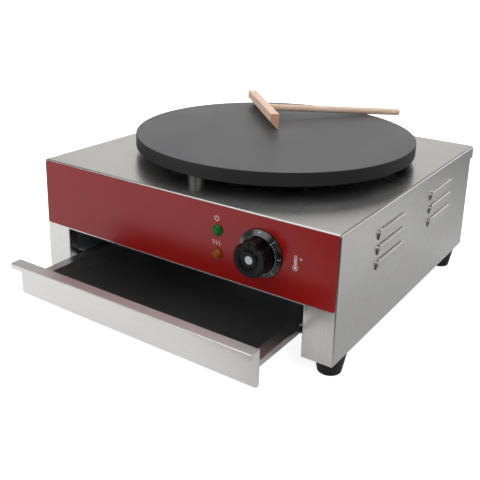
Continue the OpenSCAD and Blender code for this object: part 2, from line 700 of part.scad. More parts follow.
// Leads: each wire's points are its route, from one terminal to the other
pole_y = block_y - 12.4;
pole_z = ceiling_z + 9;
tab_y = stat_back + 7.4;
tab_dx = 10;
tab_dz = 12;
pin_tip_z = cold_end_z - 12.4;
cutout_dx = 6;
cutout_tip_z = dish_z - 18.8;
lamp_tab_y = 34.4;
lamp_tab_dx = 2.6;
thick = 3.2;
thin = 1.8;
function cold_pin(r, z) = [r * cos(loop_start) + cold_bend_r * sin(loop_start),
    griddle_y + r * sin(loop_start) - cold_bend_r * cos(loop_start), z];
module wiring_loom() color("tomato") in_frame() {
    wire([[block_x - pole_dx, pole_y, pole_z], bay(block_x - pole_dx, 350, 82), bay(-112, 290, 78),
        bay(-84, 244, 70), bay(cutout_x - cutout_dx, griddle_y, 60),
        [cutout_x - cutout_dx, griddle_y, cutout_tip_z]], thick);
    wire([[cutout_x + cutout_dx, griddle_y, cutout_tip_z], bay(cutout_x + cutout_dx, griddle_y, 60),
        bay(-40, 196, 68), bay(20, 120, 68), bay(90, 76, 50), bay(knob_x - tab_dx, 56, 35),
        [knob_x - tab_dx, tab_y, knob_z + tab_dz]], thick);
    wire([[knob_x + tab_dx, tab_y, knob_z + tab_dz], bay(knob_x + tab_dx, 60, 35), bay(130, 96, 56),
        bay(112, 120, 66), cold_pin(outer_loop_r, deck_z - 58), cold_pin(outer_loop_r, pin_tip_z)], thick);
    wire([[block_x, pole_y, pole_z], bay(-118, 356, 82), bay(-80, 300, 82), bay(0, 230, 82),
        bay(50, 180, 78), cold_pin(inner_loop_r, deck_z - 66), cold_pin(inner_loop_r, pin_tip_z)], thick);
    wire([[block_x + pole_dx, pole_y, pole_z], bay(-102, 370, 81), bay(-86, 366, 80),
        bay(earth_x - 5, 380, 79), bay(earth_x - 3.4, block_y - 4, 79)], thick);
    wire([[lamp_x + lamp_tab_dx, lamp_tab_y, deck_z - green_drop], bay(lamp_x + 8, 50, 36), bay(98, 66, 64),
        bay(knob_x - tab_dx, 60, 61), [knob_x - tab_dx, tab_y, knob_z - tab_dz]], thin);
    wire([[lamp_x + lamp_tab_dx, lamp_tab_y, deck_z - amber_drop], bay(lamp_x + 10, 50, 72), bay(104, 80, 78),
        bay(knob_x + tab_dx, 70, 70), [knob_x + tab_dx, tab_y, knob_z - tab_dz]], thin);
    wire([[lamp_x - lamp_tab_dx, lamp_tab_y, deck_z - green_drop], bay(lamp_x - 5, 46, 36),
        bay(lamp_x - 8, 54, 48), bay(lamp_x - 5, 46, 60),
        [lamp_x - lamp_tab_dx, lamp_tab_y, deck_z - amber_drop]], thin);
}

// ---- Feet ----

module foot(x, y) color([0.1, 0.1, 0.1]) in_frame() translate([x, y, 0]) difference() {
    cylinder(r1 = foot_bottom_r, r2 = foot_top_r, h = foot_h);
    translate([0, 0, -cut]) cylinder(d = 13, h = foot_h / 2 + cut);
    cylinder(d = foot_hole_d, h = foot_h + cut);
}
module front_left_foot() { foot(-foot_x, foot_front_y); }
module front_right_foot() { foot(foot_x, foot_front_y); }
module rear_left_foot() { foot(-foot_x, foot_rear_y); }
module rear_right_foot() { foot(foot_x, foot_rear_y); }

module foot_places() { both_sides() for (y = foot_ys) translate([foot_x, y, 0]) children(); }
module foot_screws() color("silver") in_frame() foot_places() translate([0, 0, foot_h / 2 - 4])
    rotate([180, 0, 0]) pan_screw(6, frame_z + frame_t + 7 - foot_h / 2, 12, 4);
module foot_nuts() color("silver") in_frame() foot_places()
    translate([0, 0, frame_z + frame_t]) hex_nut(10, 5, 6.1);

// ---- Drawer ----

module drawer_tray() color("silver") in_frame() translate([0, -drawer_open + sheet_t, 0]) {
    inner_x = pan_w / 2 - sheet_t;
    difference() {
        block([-pan_w / 2, 0, pan_bottom], [pan_w / 2, tray_l, rim_z]);
        block([-inner_x, sheet_t, pan_bottom + sheet_t], [inner_x, tray_l - sheet_t, rim_z + cut]);
    }
    both_sides() {
        block([inner_x, 0, rim_z - sheet_t], [rim_w / 2, tray_l, rim_z]);
        block([rim_w / 2 - sheet_t, 0, rim_z - rim_lip], [rim_w / 2, tray_l, rim_z]);
    }
}

module drawer_front() color("silver") in_frame() translate([0, -drawer_open, 0]) {
    translate([0, sheet_t, front_bottom]) rotate([90, 0, 0]) linear_extrude(sheet_t) difference() {
        round_plate(front_w, front_top - front_bottom + 6, 5);
        translate([-front_w, front_top - front_bottom - sheet_t / 2]) square([2 * front_w, 10]);
    }
    block([-front_w / 2, -handle_l, front_top - sheet_t], [front_w / 2, sheet_t, front_top]);
    block([-front_w / 2, -handle_l, front_top - handle_lip], [front_w / 2, -handle_l + sheet_t, front_top]);
}

// ---- Knob ----

dial_face = 7;
module knob_dial() color([0.15, 0.15, 0.17]) in_frame() along_y([knob_x, -panel_t, knob_z]) rotate([180, 0, 0])
    difference() {
        union() {
            cylinder(d = dial_d, h = 2.4);
            translate([0, 0, 2.4]) cylinder(d1 = dial_d, d2 = grip_d + 2.6, h = dial_face - panel_t - 2.4);
        }
        translate([0, 0, 3]) cylinder(d = grip_d + 1.4, h = 10);
        translate([0, 0, -cut]) cylinder(d = 10.6, h = 10);
        for (side = [-1, 1]) translate([side * stat_screw_dx, 0, -cut]) cylinder(d = 8, h = 10);
    }

module knob_grip() color([0.12, 0.13, 0.15]) in_frame() along_y([knob_x, -grip_reach, knob_z]) difference() {
    linear_extrude(grip_reach - panel_t - 3.4) grip_outline();
    translate([0, 0, -cut]) cylinder(d = 10.2, h = 1 + cut);
    translate([0, 0, 4.8]) cylinder(d = 6.1, h = 30);
    translate([0, 0, 17]) cylinder(d = 12, h = 10);
}

// Round grip with a finger waist on each side of its pointer; local -Y is up
module grip_outline() {
    difference() {
        circle(d = grip_d);
        for (side = [-1, 1]) rotate(side * 40) translate([0, -grip_d / 2 - 5]) circle(9);
    }
    translate([-3, -grip_d / 2]) square([6, 12]);
}

module knob_insert() color("silver") in_frame()
    along_y([knob_x, -grip_reach - 0.2, knob_z]) cylinder(d = 10, h = 1.1);

// ---- Spreader ----

// Local X runs along the handle, Y along the head, Z up from the head's bottom edge
module spreader_place() {
    translate([spreader_x, spreader_y, spreader_z]) rotate([0, spreader_tilt, spreader_turn]) children();
}

module spreader_head() color("burlywood") in_frame() spreader_place() difference() {
    translate([0, head_l / 2, 0]) rotate([90, 0, 0]) linear_extrude(head_l)
        polygon([[-edge_w / 2, 0], [edge_w / 2, 0], [edge_w / 2, head_h],
            [edge_w / 2 - head_t, head_h], [edge_w / 2 - head_t, bevel_h]]);
    translate([edge_w / 2 - socket_l, 0, dowel_z]) rotate([0, 90, 0]) cylinder(d = dowel_d, h = head_t + 10);
}

module spreader_handle() color("burlywood") in_frame() spreader_place()
    translate([edge_w / 2 - socket_l, 0, dowel_z]) rotate([0, 90, 0]) rotate_extrude() {
        square([dowel_d / 2 - end_round, dowel_l + socket_l]);
        square([dowel_d / 2, dowel_l + socket_l - end_round]);
        translate([dowel_d / 2 - end_round, dowel_l + socket_l - end_round]) circle(end_round);
    }

outer_shell();
control_panel();
rear_panel();
base_frame();
drawer_housing();
left_drawer_rail();
right_drawer_rail();
rail_rivets();
griddle_plate();
plate_spacers();
plate_studs();
plate_nuts();
heating_element();
element_beads();
element_clamps();
clamp_studs();
clamp_nuts();
reflector_dish();
insulation_disc();
thermostat_body();
thermostat_screws();
capillary_tube();
sensor_bulb();
bulb_clip();
clip_screws();
green_lamp_lens();
amber_lamp_lens();
green_lamp_body();
amber_lamp_body();
lamp_nuts();
thermal_cutout();
terminal_block();
terminal_screws();
cable_gland();
gland_nut();
earth_stud();
wiring_loom();
front_left_foot();
front_right_foot();
rear_left_foot();
rear_right_foot();
foot_screws();
foot_nuts();
drawer_tray();
drawer_front();
housing_screws();
rear_panel_screws();
knob_dial();
knob_grip();
knob_insert();
thermostat_spindle();
spreader_head();
spreader_handle();
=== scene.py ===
"""Electric crepe maker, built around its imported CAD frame.

Lengths are written in millimetres and turned to metres by mm. A place is given as on the real
machine: x to the right of its middle, y back from the body's front face, z above the table.
"""
import math

import bmesh
import bpy
from mathutils import Matrix, Vector


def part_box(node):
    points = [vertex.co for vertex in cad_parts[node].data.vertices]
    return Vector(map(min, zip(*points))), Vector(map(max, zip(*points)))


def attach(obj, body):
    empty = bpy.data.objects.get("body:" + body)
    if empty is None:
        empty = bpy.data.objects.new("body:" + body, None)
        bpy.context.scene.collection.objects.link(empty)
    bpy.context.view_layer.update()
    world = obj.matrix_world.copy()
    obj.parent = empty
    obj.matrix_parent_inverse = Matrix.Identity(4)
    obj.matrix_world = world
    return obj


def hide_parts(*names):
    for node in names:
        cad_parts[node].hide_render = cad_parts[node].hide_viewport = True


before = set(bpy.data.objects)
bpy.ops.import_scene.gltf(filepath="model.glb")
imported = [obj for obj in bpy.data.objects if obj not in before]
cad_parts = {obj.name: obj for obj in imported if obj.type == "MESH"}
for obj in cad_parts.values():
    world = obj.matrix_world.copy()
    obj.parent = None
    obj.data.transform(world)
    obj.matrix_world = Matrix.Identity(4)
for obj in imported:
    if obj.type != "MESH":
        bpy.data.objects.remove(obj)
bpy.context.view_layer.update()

mm = 0.001
sheet_t, drawer_out, panel_margin = 1.2, 86, 1.9
shell_low, shell_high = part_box("outer_shell")
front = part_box("drawer_front")[1][1] + (drawer_out - sheet_t) * mm
foot_h = shell_low[2] / mm
deck_z = shell_high[2] / mm
half_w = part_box("control_panel")[1][0] / mm + panel_margin

# ---- Camera ----
# It stands to the right of the machine and looks down on it. The vertical shift keeps the upright
# edges nearly parallel, as a view camera does.
yaw, pitch, roll = (math.radians(a) for a in (33.72, 17.32, 1.45))
distance, aim_x, aim_y = 964.4, 13.8, 123.7
focal_px, picture_px, shift_px = 724.0, 480, -70
aim = Vector((aim_x * mm, front + aim_y * mm, deck_z * mm))
look = Vector((-math.sin(yaw) * math.cos(pitch), math.cos(yaw) * math.cos(pitch), -math.sin(pitch)))
level = Vector((math.cos(yaw), math.sin(yaw), 0))
upright = level.cross(look)
right = math.cos(roll) * level + math.sin(roll) * upright
up = math.cos(roll) * upright - math.sin(roll) * level
camera_data = bpy.data.cameras.new("camera")
camera_data.sensor_width = 36
camera_data.lens = focal_px / picture_px * camera_data.sensor_width
camera_data.shift_y = shift_px / picture_px
camera = bpy.data.objects.new("camera", camera_data)
bpy.context.collection.objects.link(camera)
turn = Matrix((right, up, -look)).transposed().to_4x4()
camera.matrix_world = Matrix.Translation(aim - distance * mm * look) @ turn
bpy.context.scene.camera = camera
bpy.context.scene.view_settings.view_transform = "Standard"


# ---- Studio ----
# A table with a sheet of white paper that ends short of the front right, before a white wall. One
# large soft box stands at the front left, one hangs overhead and a small one stands at the front
# right. The eye sees plain white; metal mirrors the paper, its edge, the wall and the room.
def linear(hex_colour):
    """Linear RGBA of an sRGB hex colour."""
    parts = [int(hex_colour[i:i + 2], 16) / 255 for i in (1, 3, 5)]
    return tuple(p / 12.92 if p <= 0.04045 else ((p + 0.055) / 1.055) ** 2.4 for p in parts) + (1.0,)


def add_node(tree, kind, settings=None, values=None, links=None):
    """Adds a shader node with its settings, its sockets' values and what feeds its sockets."""
    node = tree.nodes.new("ShaderNode" + kind)
    for name, value in (settings or {}).items():
        setattr(node, name, value)
    for name, value in (values or {}).items():
        node.inputs[name].default_value = value
    for name, source in (links or {}).items():
        tree.links.new(node.inputs[name], source)
    return node


def maths(tree, operation, *terms):
    """One sum on shader values. A term is a number or a socket."""
    node = add_node(tree, "Math", {"operation": operation})
    for socket, term in zip(node.inputs, terms):
        if isinstance(term, float):
            socket.default_value = term
        else:
            tree.links.new(socket, term)
    return node.outputs[0]


def remap(tree, source, start_at, end_at, low, high):
    """Turns the range start_at to end_at of a value into low to high, and holds it beyond them."""
    limits = {"From Min": start_at, "From Max": end_at, "To Min": low, "To Max": high}
    return add_node(tree, "MapRange", values=limits, links={"Value": source}).outputs[0]


world = bpy.data.worlds.new("studio")
bpy.context.scene.world = world
world.use_nodes = True
sky = world.node_tree
sky.nodes.clear()
rays = add_node(sky, "LightPath").outputs
direct = maths(sky, "MAXIMUM", rays["Is Camera Ray"], rays["Is Transmission Ray"])
way = add_node(sky, "SeparateXYZ", links={0: add_node(sky, "TexCoord").outputs["Generated"]}).outputs

# The room as metal mirrors it, by direction: dim in front, white at the wall behind and brighter at the
# wall's right end, and dark above the wall, whose top rises to the left.
wall_turn, wall_start, wall_end, front_light, wall_light = 0.8, -0.4, 0.1, 0.3, 1.0
bright_start, bright_end, bright_gain = 0.85, 1.15, 1.5
top_rise, top_start, top_end, wall_share, dark_share = 0.35, 0.29, 0.36, 0.78, 0.1
behind = maths(sky, "MULTIPLY_ADD", way["X"], wall_turn, way["Y"])
wall = remap(sky, behind, wall_start, wall_end, front_light, wall_light)
slant = maths(sky, "MULTIPLY_ADD", maths(sky, "MINIMUM", way["X"], 0.0), top_rise, way["Z"])
height = remap(sky, slant, top_start, top_end, wall_share, dark_share)
gain = remap(sky, behind, bright_start, bright_end, 1.0, bright_gain)
room = maths(sky, "MULTIPLY", wall, maths(sky, "MULTIPLY", gain, height))
fill_light, white_light = 0.4, 1.0
fill = add_node(sky, "Background", values={"Color": linear("#FFFFFF"), "Strength": fill_light})
white = add_node(sky, "Background", values={"Color": linear("#FFFFFF"), "Strength": white_light})
glow = add_node(sky, "Background", values={"Color": linear("#FFFDFA")}, links={"Strength": room})
seen = add_node(sky, "MixShader", links={0: rays["Is Glossy Ray"], 1: fill.outputs[0], 2: glow.outputs[0]})
shown = add_node(sky, "MixShader", links={0: direct, 1: seen.outputs[0], 2: white.outputs[0]})
add_node(sky, "OutputWorld", links={"Surface": shown.outputs[0]})


def start_material(name):
    """A new material, its emptied node tree and the object's own coordinates in it."""
    material = bpy.data.materials.new(name)
    material.use_nodes = True
    tree = material.node_tree
    tree.nodes.clear()
    return material, tree, add_node(tree, "TexCoord").outputs["Object"]


def grey_ramp(tree, source, stops):
    """Turns a length in metres into a grey, by stops of metres and grey."""
    ramp = add_node(tree, "ValToRGB", links={"Fac": source})
    ramp.color_ramp.interpolation = "EASE"
    for metres, grey in stops:
        ramp.color_ramp.elements.new(metres).color = (grey, grey, grey, 1)
    ramp.color_ramp.elements.remove(ramp.color_ramp.elements[0])
    ramp.color_ramp.elements.remove(ramp.color_ramp.elements[-1])
    return ramp.outputs["Color"]


# White paper, matt: plain white to the eye. In a mirror it fades out past its edge and towards the back, and
# a painted shade makes it greyer to the right, where the machine's own shadow falls.
table_size = 12
edge_stops = ((0.1, 0.8), (0.3, 0.76), (0.42, 0.72), (0.5, 0.5), (0.57, 0.22), (0.7, 0.03))
shade_stops = ((0.16, 1.0), (0.27, 0.6), (0.31, 0.54), (0.365, 0.655), (0.45, 0.68))
back_start, back_end, back_share = 0.3, 0.8, 0.5
paper_grey, eye_lift, mirror_lift = 0.86, 0.8, 0.32
bpy.ops.mesh.primitive_plane_add(size=table_size)
floor = bpy.context.object
floor.name = "floor"
paper, tree, at = start_material("white_paper")
rays = add_node(tree, "LightPath").outputs
place = add_node(tree, "SeparateXYZ", links={0: at}).outputs
edge = grey_ramp(tree, maths(tree, "SUBTRACT", place["X"], place["Y"]), edge_stops)
far = remap(tree, place["Y"], back_start, back_end, 1.0, back_share)
# Painted shade: the mirrored paper greys to the right of the machine, where its shadow falls.
spread = maths(tree, "MULTIPLY", far, grey_ramp(tree, place["X"], shade_stops))
mirrored = maths(tree, "MULTIPLY", edge, spread)
grey = add_node(tree, "Mix", {"data_type": "FLOAT"}, {"A": paper_grey},
                {"Factor": rays["Is Glossy Ray"], "B": mirrored})
matte = add_node(tree, "BsdfDiffuse", links={"Color": grey.outputs["Result"]})
to_eye = maths(tree, "MAXIMUM", rays["Is Camera Ray"], rays["Is Transmission Ray"])
to_metal = maths(tree, "MULTIPLY", rays["Is Glossy Ray"], mirrored)
lift = maths(tree, "MULTIPLY_ADD", to_eye, eye_lift, maths(tree, "MULTIPLY", to_metal, mirror_lift))
white = add_node(tree, "Emission", values={"Color": linear("#FFFFFF")}, links={"Strength": lift})
shown = add_node(tree, "AddShader", links={0: matte.outputs[0], 1: white.outputs[0]})
add_node(tree, "OutputMaterial", links={"Surface": shown.outputs[0]})
floor.data.materials.append(paper)

# Each soft box's place and size in metres, and its power in watts. All are turned to the machine.
lit_point = Vector((0, 0, 0.1))
soft_boxes = {
    "soft_box_left": ((-0.6, -1.5, 1.7), (2.0, 2.0), 21),
    "soft_box_top": ((0.1, 0.7, 1.9), (2.2, 1.8), 17),
    "soft_box_right": ((1.3, -1.3, 1.4), (0.45, 0.45), 5),
}
for name, (place, size, power) in soft_boxes.items():
    lamp_data = bpy.data.lights.new(name, "AREA")
    lamp_data.shape = "RECTANGLE"
    lamp_data.size, lamp_data.size_y = size
    lamp_data.energy = power
    lamp = bpy.data.objects.new(name, lamp_data)
    lamp.location = place
    lamp.rotation_euler = (lit_point - Vector(place)).to_track_quat("-Z", "Y").to_euler()
    bpy.context.collection.objects.link(lamp)


# ---- Body ----
# Deck, side walls and front columns are one sheet of 1.2 mm stainless steel, folded over its edges
# and welded at the corners. The opening's edges and the bottom are folded in, and six louvres are
# pressed out of each side wall.
bend_r, side_bend_r, flange_w, flange_mitre = 1.8, 3.2, 30, 1.5
body_d, deck_d, lip_z = 442, 452, deck_z - 18
opening_x, opening_z, opening_fold = 185, deck_z - 94, 15
louvre_ys, louvre_top, louvre_pitch = (139.5, 311), deck_z - 24.8, 19.3
louvre_l, louvre_h, louvre_corner_r, louvre_edge_r = 82, 12.8, 8, 0.7
louvre_reach, louvre_foot_reach, louvre_brow, louvre_slope = 3.8, 1.7, 0.4, (2, 3.6)
griddle_y, post_ring = 234, 187
knob_x, knob_z, stat_screw_dx = 127.5, deck_z - 46, 14
lamp_x, lamp_zs = 67.5, (deck_z - 32.5, deck_z - 62.2)
foot_in, foot_ys, rear_screw_in = 20, (34, body_d - 36), 9
foot_xs = (foot_in - half_w, half_w - foot_in)
rear_screws = [(x, up) for x in (rear_screw_in - half_w, half_w - rear_screw_in) for up in (36, 126)]
housing_screw_xs, housing_screw_y = (-155, 0, 155), 6.5


def spot(x, y, z):
    """Blender's point for a place on the machine."""
    return Vector((x * mm, front + y * mm, z * mm))


def start(name, add, **settings):
    """Adds a primitive as a new piece, with its place in its mesh, and opens it for editing."""
    bpy.ops.object.select_all(action="DESELECT")
    add(**settings)
    piece = bpy.context.object
    piece.name = piece.data.name = name
    bpy.ops.object.transform_apply(location=True, rotation=True, scale=True)
    bpy.ops.object.mode_set(mode="EDIT")
    bpy.ops.mesh.select_all(action="DESELECT")
    return piece


def start_box(name, low, high):
    """A new piece that fills the box between two places."""
    a, b = spot(*low), spot(*high)
    return start(name, bpy.ops.mesh.primitive_cube_add, size=1, location=(a + b) / 2, scale=b - a)


def pick(kind, test):
    """Selects the vertices, edges or faces whose place and direction pass the test."""
    bpy.ops.mesh.select_mode(type=kind)
    bpy.ops.mesh.select_all(action="DESELECT")
    data = bpy.context.object.data
    mesh = bmesh.from_edit_mesh(data)
    mesh.normal_update()
    for part in {"VERT": mesh.verts, "EDGE": mesh.edges, "FACE": mesh.faces}[kind]:
        if kind == "EDGE":
            a, b = (end.co for end in part.verts)
            middle, way = (a + b) / 2, (b - a).normalized()
        else:
            middle = part.co if kind == "VERT" else part.calc_center_median()
            way = part.normal
        if test(Vector((middle.x / mm, (middle.y - front) / mm, middle.z / mm)), way, part):
            part.select_set(True)
    mesh.select_flush_mode()
    bmesh.update_edit_mesh(data)


def near(a, b):
    return abs(a - b) < 0.02


# A direction whose share along an axis is at least this counts as lying along it.
square = 0.9


def bent(edge, least=60):
    """True where an edge's two faces meet at an angle."""
    return edge.calc_face_angle(0) > math.radians(least)


def cut_at(place, way, **settings):
    """Cuts the selected faces along a plane."""
    bpy.ops.mesh.bisect(plane_co=spot(*place), plane_no=way, **settings)


def fold(x=0, y=0, z=0):
    """Pulls the selected edges or faces out by so many millimetres."""
    bpy.ops.mesh.extrude_region_move(TRANSFORM_OT_translate={"value": (x * mm, y * mm, z * mm)})


def shift(x=0, y=0, z=0):
    """Moves what is selected by so many millimetres."""
    bpy.ops.transform.translate(value=(x * mm, y * mm, z * mm))


def round_off(radius, segments, test):
    """Rounds the edges that pass the test."""
    pick("EDGE", test)
    bpy.ops.mesh.bevel(offset=radius * mm, segments=segments, affect="EDGES")


def select(*pieces):
    """Selects these pieces alone, and makes the first one active."""
    bpy.ops.object.select_all(action="DESELECT")
    for piece in pieces:
        piece.select_set(True)
    bpy.context.view_layer.objects.active = pieces[0]


def apply_modifier(piece, kind, **settings):
    select(piece)
    modifier = piece.modifiers.new(kind.lower(), kind)
    for name, value in settings.items():
        setattr(modifier, name, value)
    bpy.ops.object.modifier_apply(modifier=modifier.name)


def smooth(piece, angle=30):
    """Shades a piece smooth but for its sharp edges, and keeps its flat faces flat."""
    select(piece)
    bpy.ops.object.shade_smooth_by_angle(angle=math.radians(angle))
    apply_modifier(piece, "WEIGHTED_NORMAL", keep_sharp=True)


def close(piece, angle=30):
    """Closes a piece after editing: faces outwards, smooth but for its sharp edges."""
    bpy.ops.mesh.select_all(action="SELECT")
    bpy.ops.mesh.normals_make_consistent(inside=False)
    bpy.ops.object.mode_set(mode="OBJECT")
    smooth(piece, angle)


def join(pieces):
    """Makes one object of several."""
    select(*pieces)
    bpy.ops.object.join()
    return bpy.context.object


def merge(piece, other, how):
    """Joins another solid to a piece, or cuts it away, and drops it."""
    apply_modifier(piece, "BOOLEAN", operation=how, solver="EXACT", object=other)
    bpy.data.objects.remove(other)


def drill(piece, holes):
    """Cuts round holes: each is a place, a direction, a diameter and a length through the piece."""
    cutters = []
    for place, way, width, length in holes:
        bpy.ops.mesh.primitive_cylinder_add(
            vertices=128 if width > 100 else 32, radius=width / 2 * mm, depth=length * mm,
            location=spot(*place), rotation=Vector(way).to_track_quat("Z", "Y").to_euler())
        cutters.append(bpy.context.object)
    merge(piece, join(cutters), "DIFFERENCE")


def ring_spots(radius, angles):
    """Places on a circle about the griddle's middle, as x and y."""
    turns = [math.radians(a) for a in angles]
    return [(radius * math.cos(t), griddle_y + radius * math.sin(t)) for t in turns]


shell = start_box("body_shell", (-half_w, 0, foot_h), (half_w, deck_d, deck_z))
pick("FACE", lambda c, n, f: True)
cut_at((0, body_d, 0), (0, 1, 0))
pick("FACE", lambda c, n, f: c.y > body_d - 0.1)
cut_at((0, 0, lip_z), (0, 0, 1))
for place, way in (((-opening_x, 0, 0), (1, 0, 0)), ((opening_x, 0, 0), (1, 0, 0)),
                   ((0, 0, opening_z), (0, 0, 1))):
    pick("FACE", lambda c, n, f: n.y < -square and abs(c.x) < opening_x + 1)
    cut_at(place, way)
pick("FACE", lambda c, n, f: n.z < -square or (c.y > body_d + 1 and c.z < lip_z)
     or (n.y < -square and abs(c.x) < opening_x and c.z < opening_z))
bpy.ops.mesh.delete(type="FACE")
pick("EDGE", lambda c, d, e: near(c.y, 0) and e.is_boundary and
     ((near(abs(c.x), opening_x) and c.z < opening_z) or (near(c.z, opening_z) and abs(c.x) < opening_x)))
fold(y=opening_fold)
for side in (-1, 1):
    pick("EDGE", lambda c, d, e: near(c.x, side * half_w) and near(c.z, foot_h) and c.y < body_d)
    fold(x=-side * flange_w)
    pick("EDGE", lambda c, d, e: near(c.x, side * half_w) and near(c.y, body_d) and c.z < lip_z
         and abs(d.z) > square)
    fold(x=-side * opening_fold)
    pick("VERT", lambda c, n, v: near(c.x, side * (half_w - flange_w)) and near(c.y, 0))
    shift(y=flange_mitre)
round_off(side_bend_r, 6, lambda c, d, e: bent(e) and near(abs(c.x), half_w) and near(c.z, deck_z))
round_off(bend_r, 4, lambda c, d, e: bent(e) and not (near(abs(c.x), opening_x) and near(c.z, opening_z)))
bpy.ops.object.mode_set(mode="OBJECT")
apply_modifier(shell, "SOLIDIFY", thickness=sheet_t * mm, offset=-1)


def pressed_hood(name, inner, root, foot):
    """One louvre, standing on z = 0 and x = 0: a box with round upper corners and a slope on top.

    It is so much smaller than the outside, begins behind the wall at root, and below z = 0 at foot.
    """
    top, end, reach = louvre_h - inner, louvre_l / 2 - inner, louvre_reach - inner
    ledge = reach - louvre_slope[0]
    hood = start_box(name, (root, -end, foot), (reach, end, top))
    pick("EDGE", lambda c, d, e: near(c.x, reach) and near(c.z, foot))
    shift(x=louvre_foot_reach - louvre_reach)
    round_off(louvre_corner_r - inner, 6, lambda c, d, e: abs(d.x) > square and near(c.z, top))
    pick("FACE", lambda c, n, f: True)
    cut_at((ledge, 0, top - louvre_brow), (louvre_slope[1], 0, louvre_slope[0]),
           use_fill=True, clear_outer=True)
    round_off(louvre_edge_r - inner / 3, 3,
              lambda c, d, e: c.x > ledge - 0.5 and c.z > foot + 0.2 and bent(e, 25))
    close(hood)
    return hood


def copy_of(piece, move):
    """A copy with its own mesh, moved."""
    copy = piece.copy()
    copy.data = piece.data.copy()
    copy.data.transform(move)
    bpy.context.collection.objects.link(copy)
    return copy


def copies(piece, moves):
    """Replaces a piece by moved copies, joined to one object."""
    made = [copy_of(piece, move) for move in moves]
    bpy.data.objects.remove(piece)
    return join(made)


louvre_tops = [louvre_top - row * louvre_pitch for row in range(3)]
louvre_moves = [Matrix.Translation(spot(side * half_w, y, top - louvre_h))
                @ Matrix.Rotation(math.pi * (side < 0), 4, "Z") @ Matrix.Translation(-spot(0, 0, 0))
                for side in (-1, 1) for y in louvre_ys for top in louvre_tops]
merge(shell, copies(pressed_hood("hood", inner=0, root=-0.6, foot=0), louvre_moves), "UNION")
merge(shell, copies(pressed_hood("hood_hollow", inner=sheet_t, root=-3, foot=-0.8), louvre_moves),
      "DIFFERENCE")

post_spots = ring_spots(post_ring, (-90, 30, 150))
spindle_hole, stat_screw_hole, lamp_hole, element_hole, stud_hole = 10.4, 4.2, 10.2, 336, 8.4
foot_hole, rear_screw_hole, housing_screw_hole = 6.6, 3.4, 3.2
along_y, along_z, through, through_fold = (0, 1, 0), (0, 0, 1), 8, 6
panel_holes = [((knob_x, 0, knob_z), along_y, spindle_hole, through)]
panel_holes += [((knob_x + dx, 0, knob_z), along_y, stat_screw_hole, through)
                for dx in (-stat_screw_dx, stat_screw_dx)]
panel_holes += [((lamp_x, 0, z), along_y, lamp_hole, through) for z in lamp_zs]
holes = [((0, griddle_y, deck_z), along_z, element_hole, through)]
holes += [((x, y, deck_z), along_z, stud_hole, through) for x, y in post_spots]
holes += [((x, y, foot_h), along_z, foot_hole, through) for x in foot_xs for y in foot_ys]
holes += [((x, body_d, foot_h + up), along_y, rear_screw_hole, through) for x, up in rear_screws]
holes += [((x, housing_screw_y, opening_z), along_z, housing_screw_hole, through_fold)
          for x in housing_screw_xs]
drill(shell, panel_holes + holes)
smooth(shell)


def noise(tree, at, **values):
    return add_node(tree, "TexNoise", values=values, links={"Vector": at}).outputs[0]


def two_tone(tree, source, colours, low=0.0, high=1.0):
    """A ramp between two hex colours, which it reaches at the levels low and high of its source."""
    ramp = add_node(tree, "ValToRGB", links={"Fac": source})
    for stop, level, colour in zip(ramp.color_ramp.elements, (low, high), colours):
        stop.position, stop.color = level, linear(colour)
    return ramp.outputs["Color"]


def bump(tree, strength, depth_mm, **links):
    return add_node(tree, "Bump", values={"Strength": strength, "Distance": depth_mm * mm},
                    links=links).outputs[0]


def end_material(material, values, links):
    """Gives a material its surface."""
    tree = material.node_tree
    surface = add_node(tree, "BsdfPrincipled", values=values, links=links)
    add_node(tree, "OutputMaterial", links={"Surface": surface.outputs[0]})
    return material


# Cold-rolled stainless steel, ground with a belt along its length: fine straight grain that smears
# reflections across itself, a light neutral grey, and a few faint smudges from handling.
def brushed_steel(name, colours, way, roughness=0.3, grain_mm=0.7):
    """way is the grain's direction, as an axis letter."""
    material, tree, at = start_material(name)
    grain_scale, long_share, smudge_scale = 1 / (grain_mm * mm), 0.012, 14.0
    stretch = [grain_scale * (long_share if axis == way else 1) for axis in "XYZ"]
    along = add_node(tree, "Mapping", values={"Scale": stretch}, links={"Vector": at}).outputs[0]
    lines = noise(tree, along, Scale=1.0, Detail=3.0, Roughness=0.65)
    smudge = noise(tree, at, Scale=smudge_scale, Detail=1.0, Roughness=0.5)
    return end_material(material, {"Metallic": 1.0}, {
        "Base Color": two_tone(tree, lines, colours, 0.3, 0.7),
        "Roughness": remap(tree, smudge, 0.2, 0.8, roughness, roughness + 0.05),
        "Normal": bump(tree, 0.05, 0.05, Height=lines)})


# The deck, the side walls and the front are one sheet, yet each facing gets its own grey: painted light and
# shade, the deck darkest and the front palest.
shell_roughness = 0.25
for name, way, colours in (("brushed_steel_deck", "X", ("#C9C8C7", "#D6D5D4")),
                           ("brushed_steel_side", "Y", ("#CFCECC", "#DBDAD8")),
                           ("brushed_steel_front", "Z", ("#D0CFCD", "#DCDBD9"))):
    shell.data.materials.append(brushed_steel(name, colours, way, shell_roughness))
for face in shell.data.polygons:
    face.material_index = 1 if abs(face.normal.x) > 0.7 else 2 if face.normal.y < -0.7 else 0
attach(shell, "chassis")
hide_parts("outer_shell")


# ---- Control panel ----
# A thin steel plate with a fired red enamel, laid on the front above the opening and held there by
# the nuts of the lamps and of the thermostat. Its symbols are printed on it in white.
panel_t, panel_corner_r, panel_edge_r, panel_gap = 0.6, 3, 0.25, 2.5
panel = start_box("control_panel_plate", (panel_margin - half_w, -panel_t, opening_z + panel_gap),
                  (half_w - panel_margin, 0, deck_z - bend_r))
round_off(panel_corner_r, 6, lambda c, d, e: abs(d.y) > square)
round_off(panel_edge_r, 3, lambda c, d, e: near(c.y, -panel_t))
close(panel)
drill(panel, panel_holes)
smooth(panel)


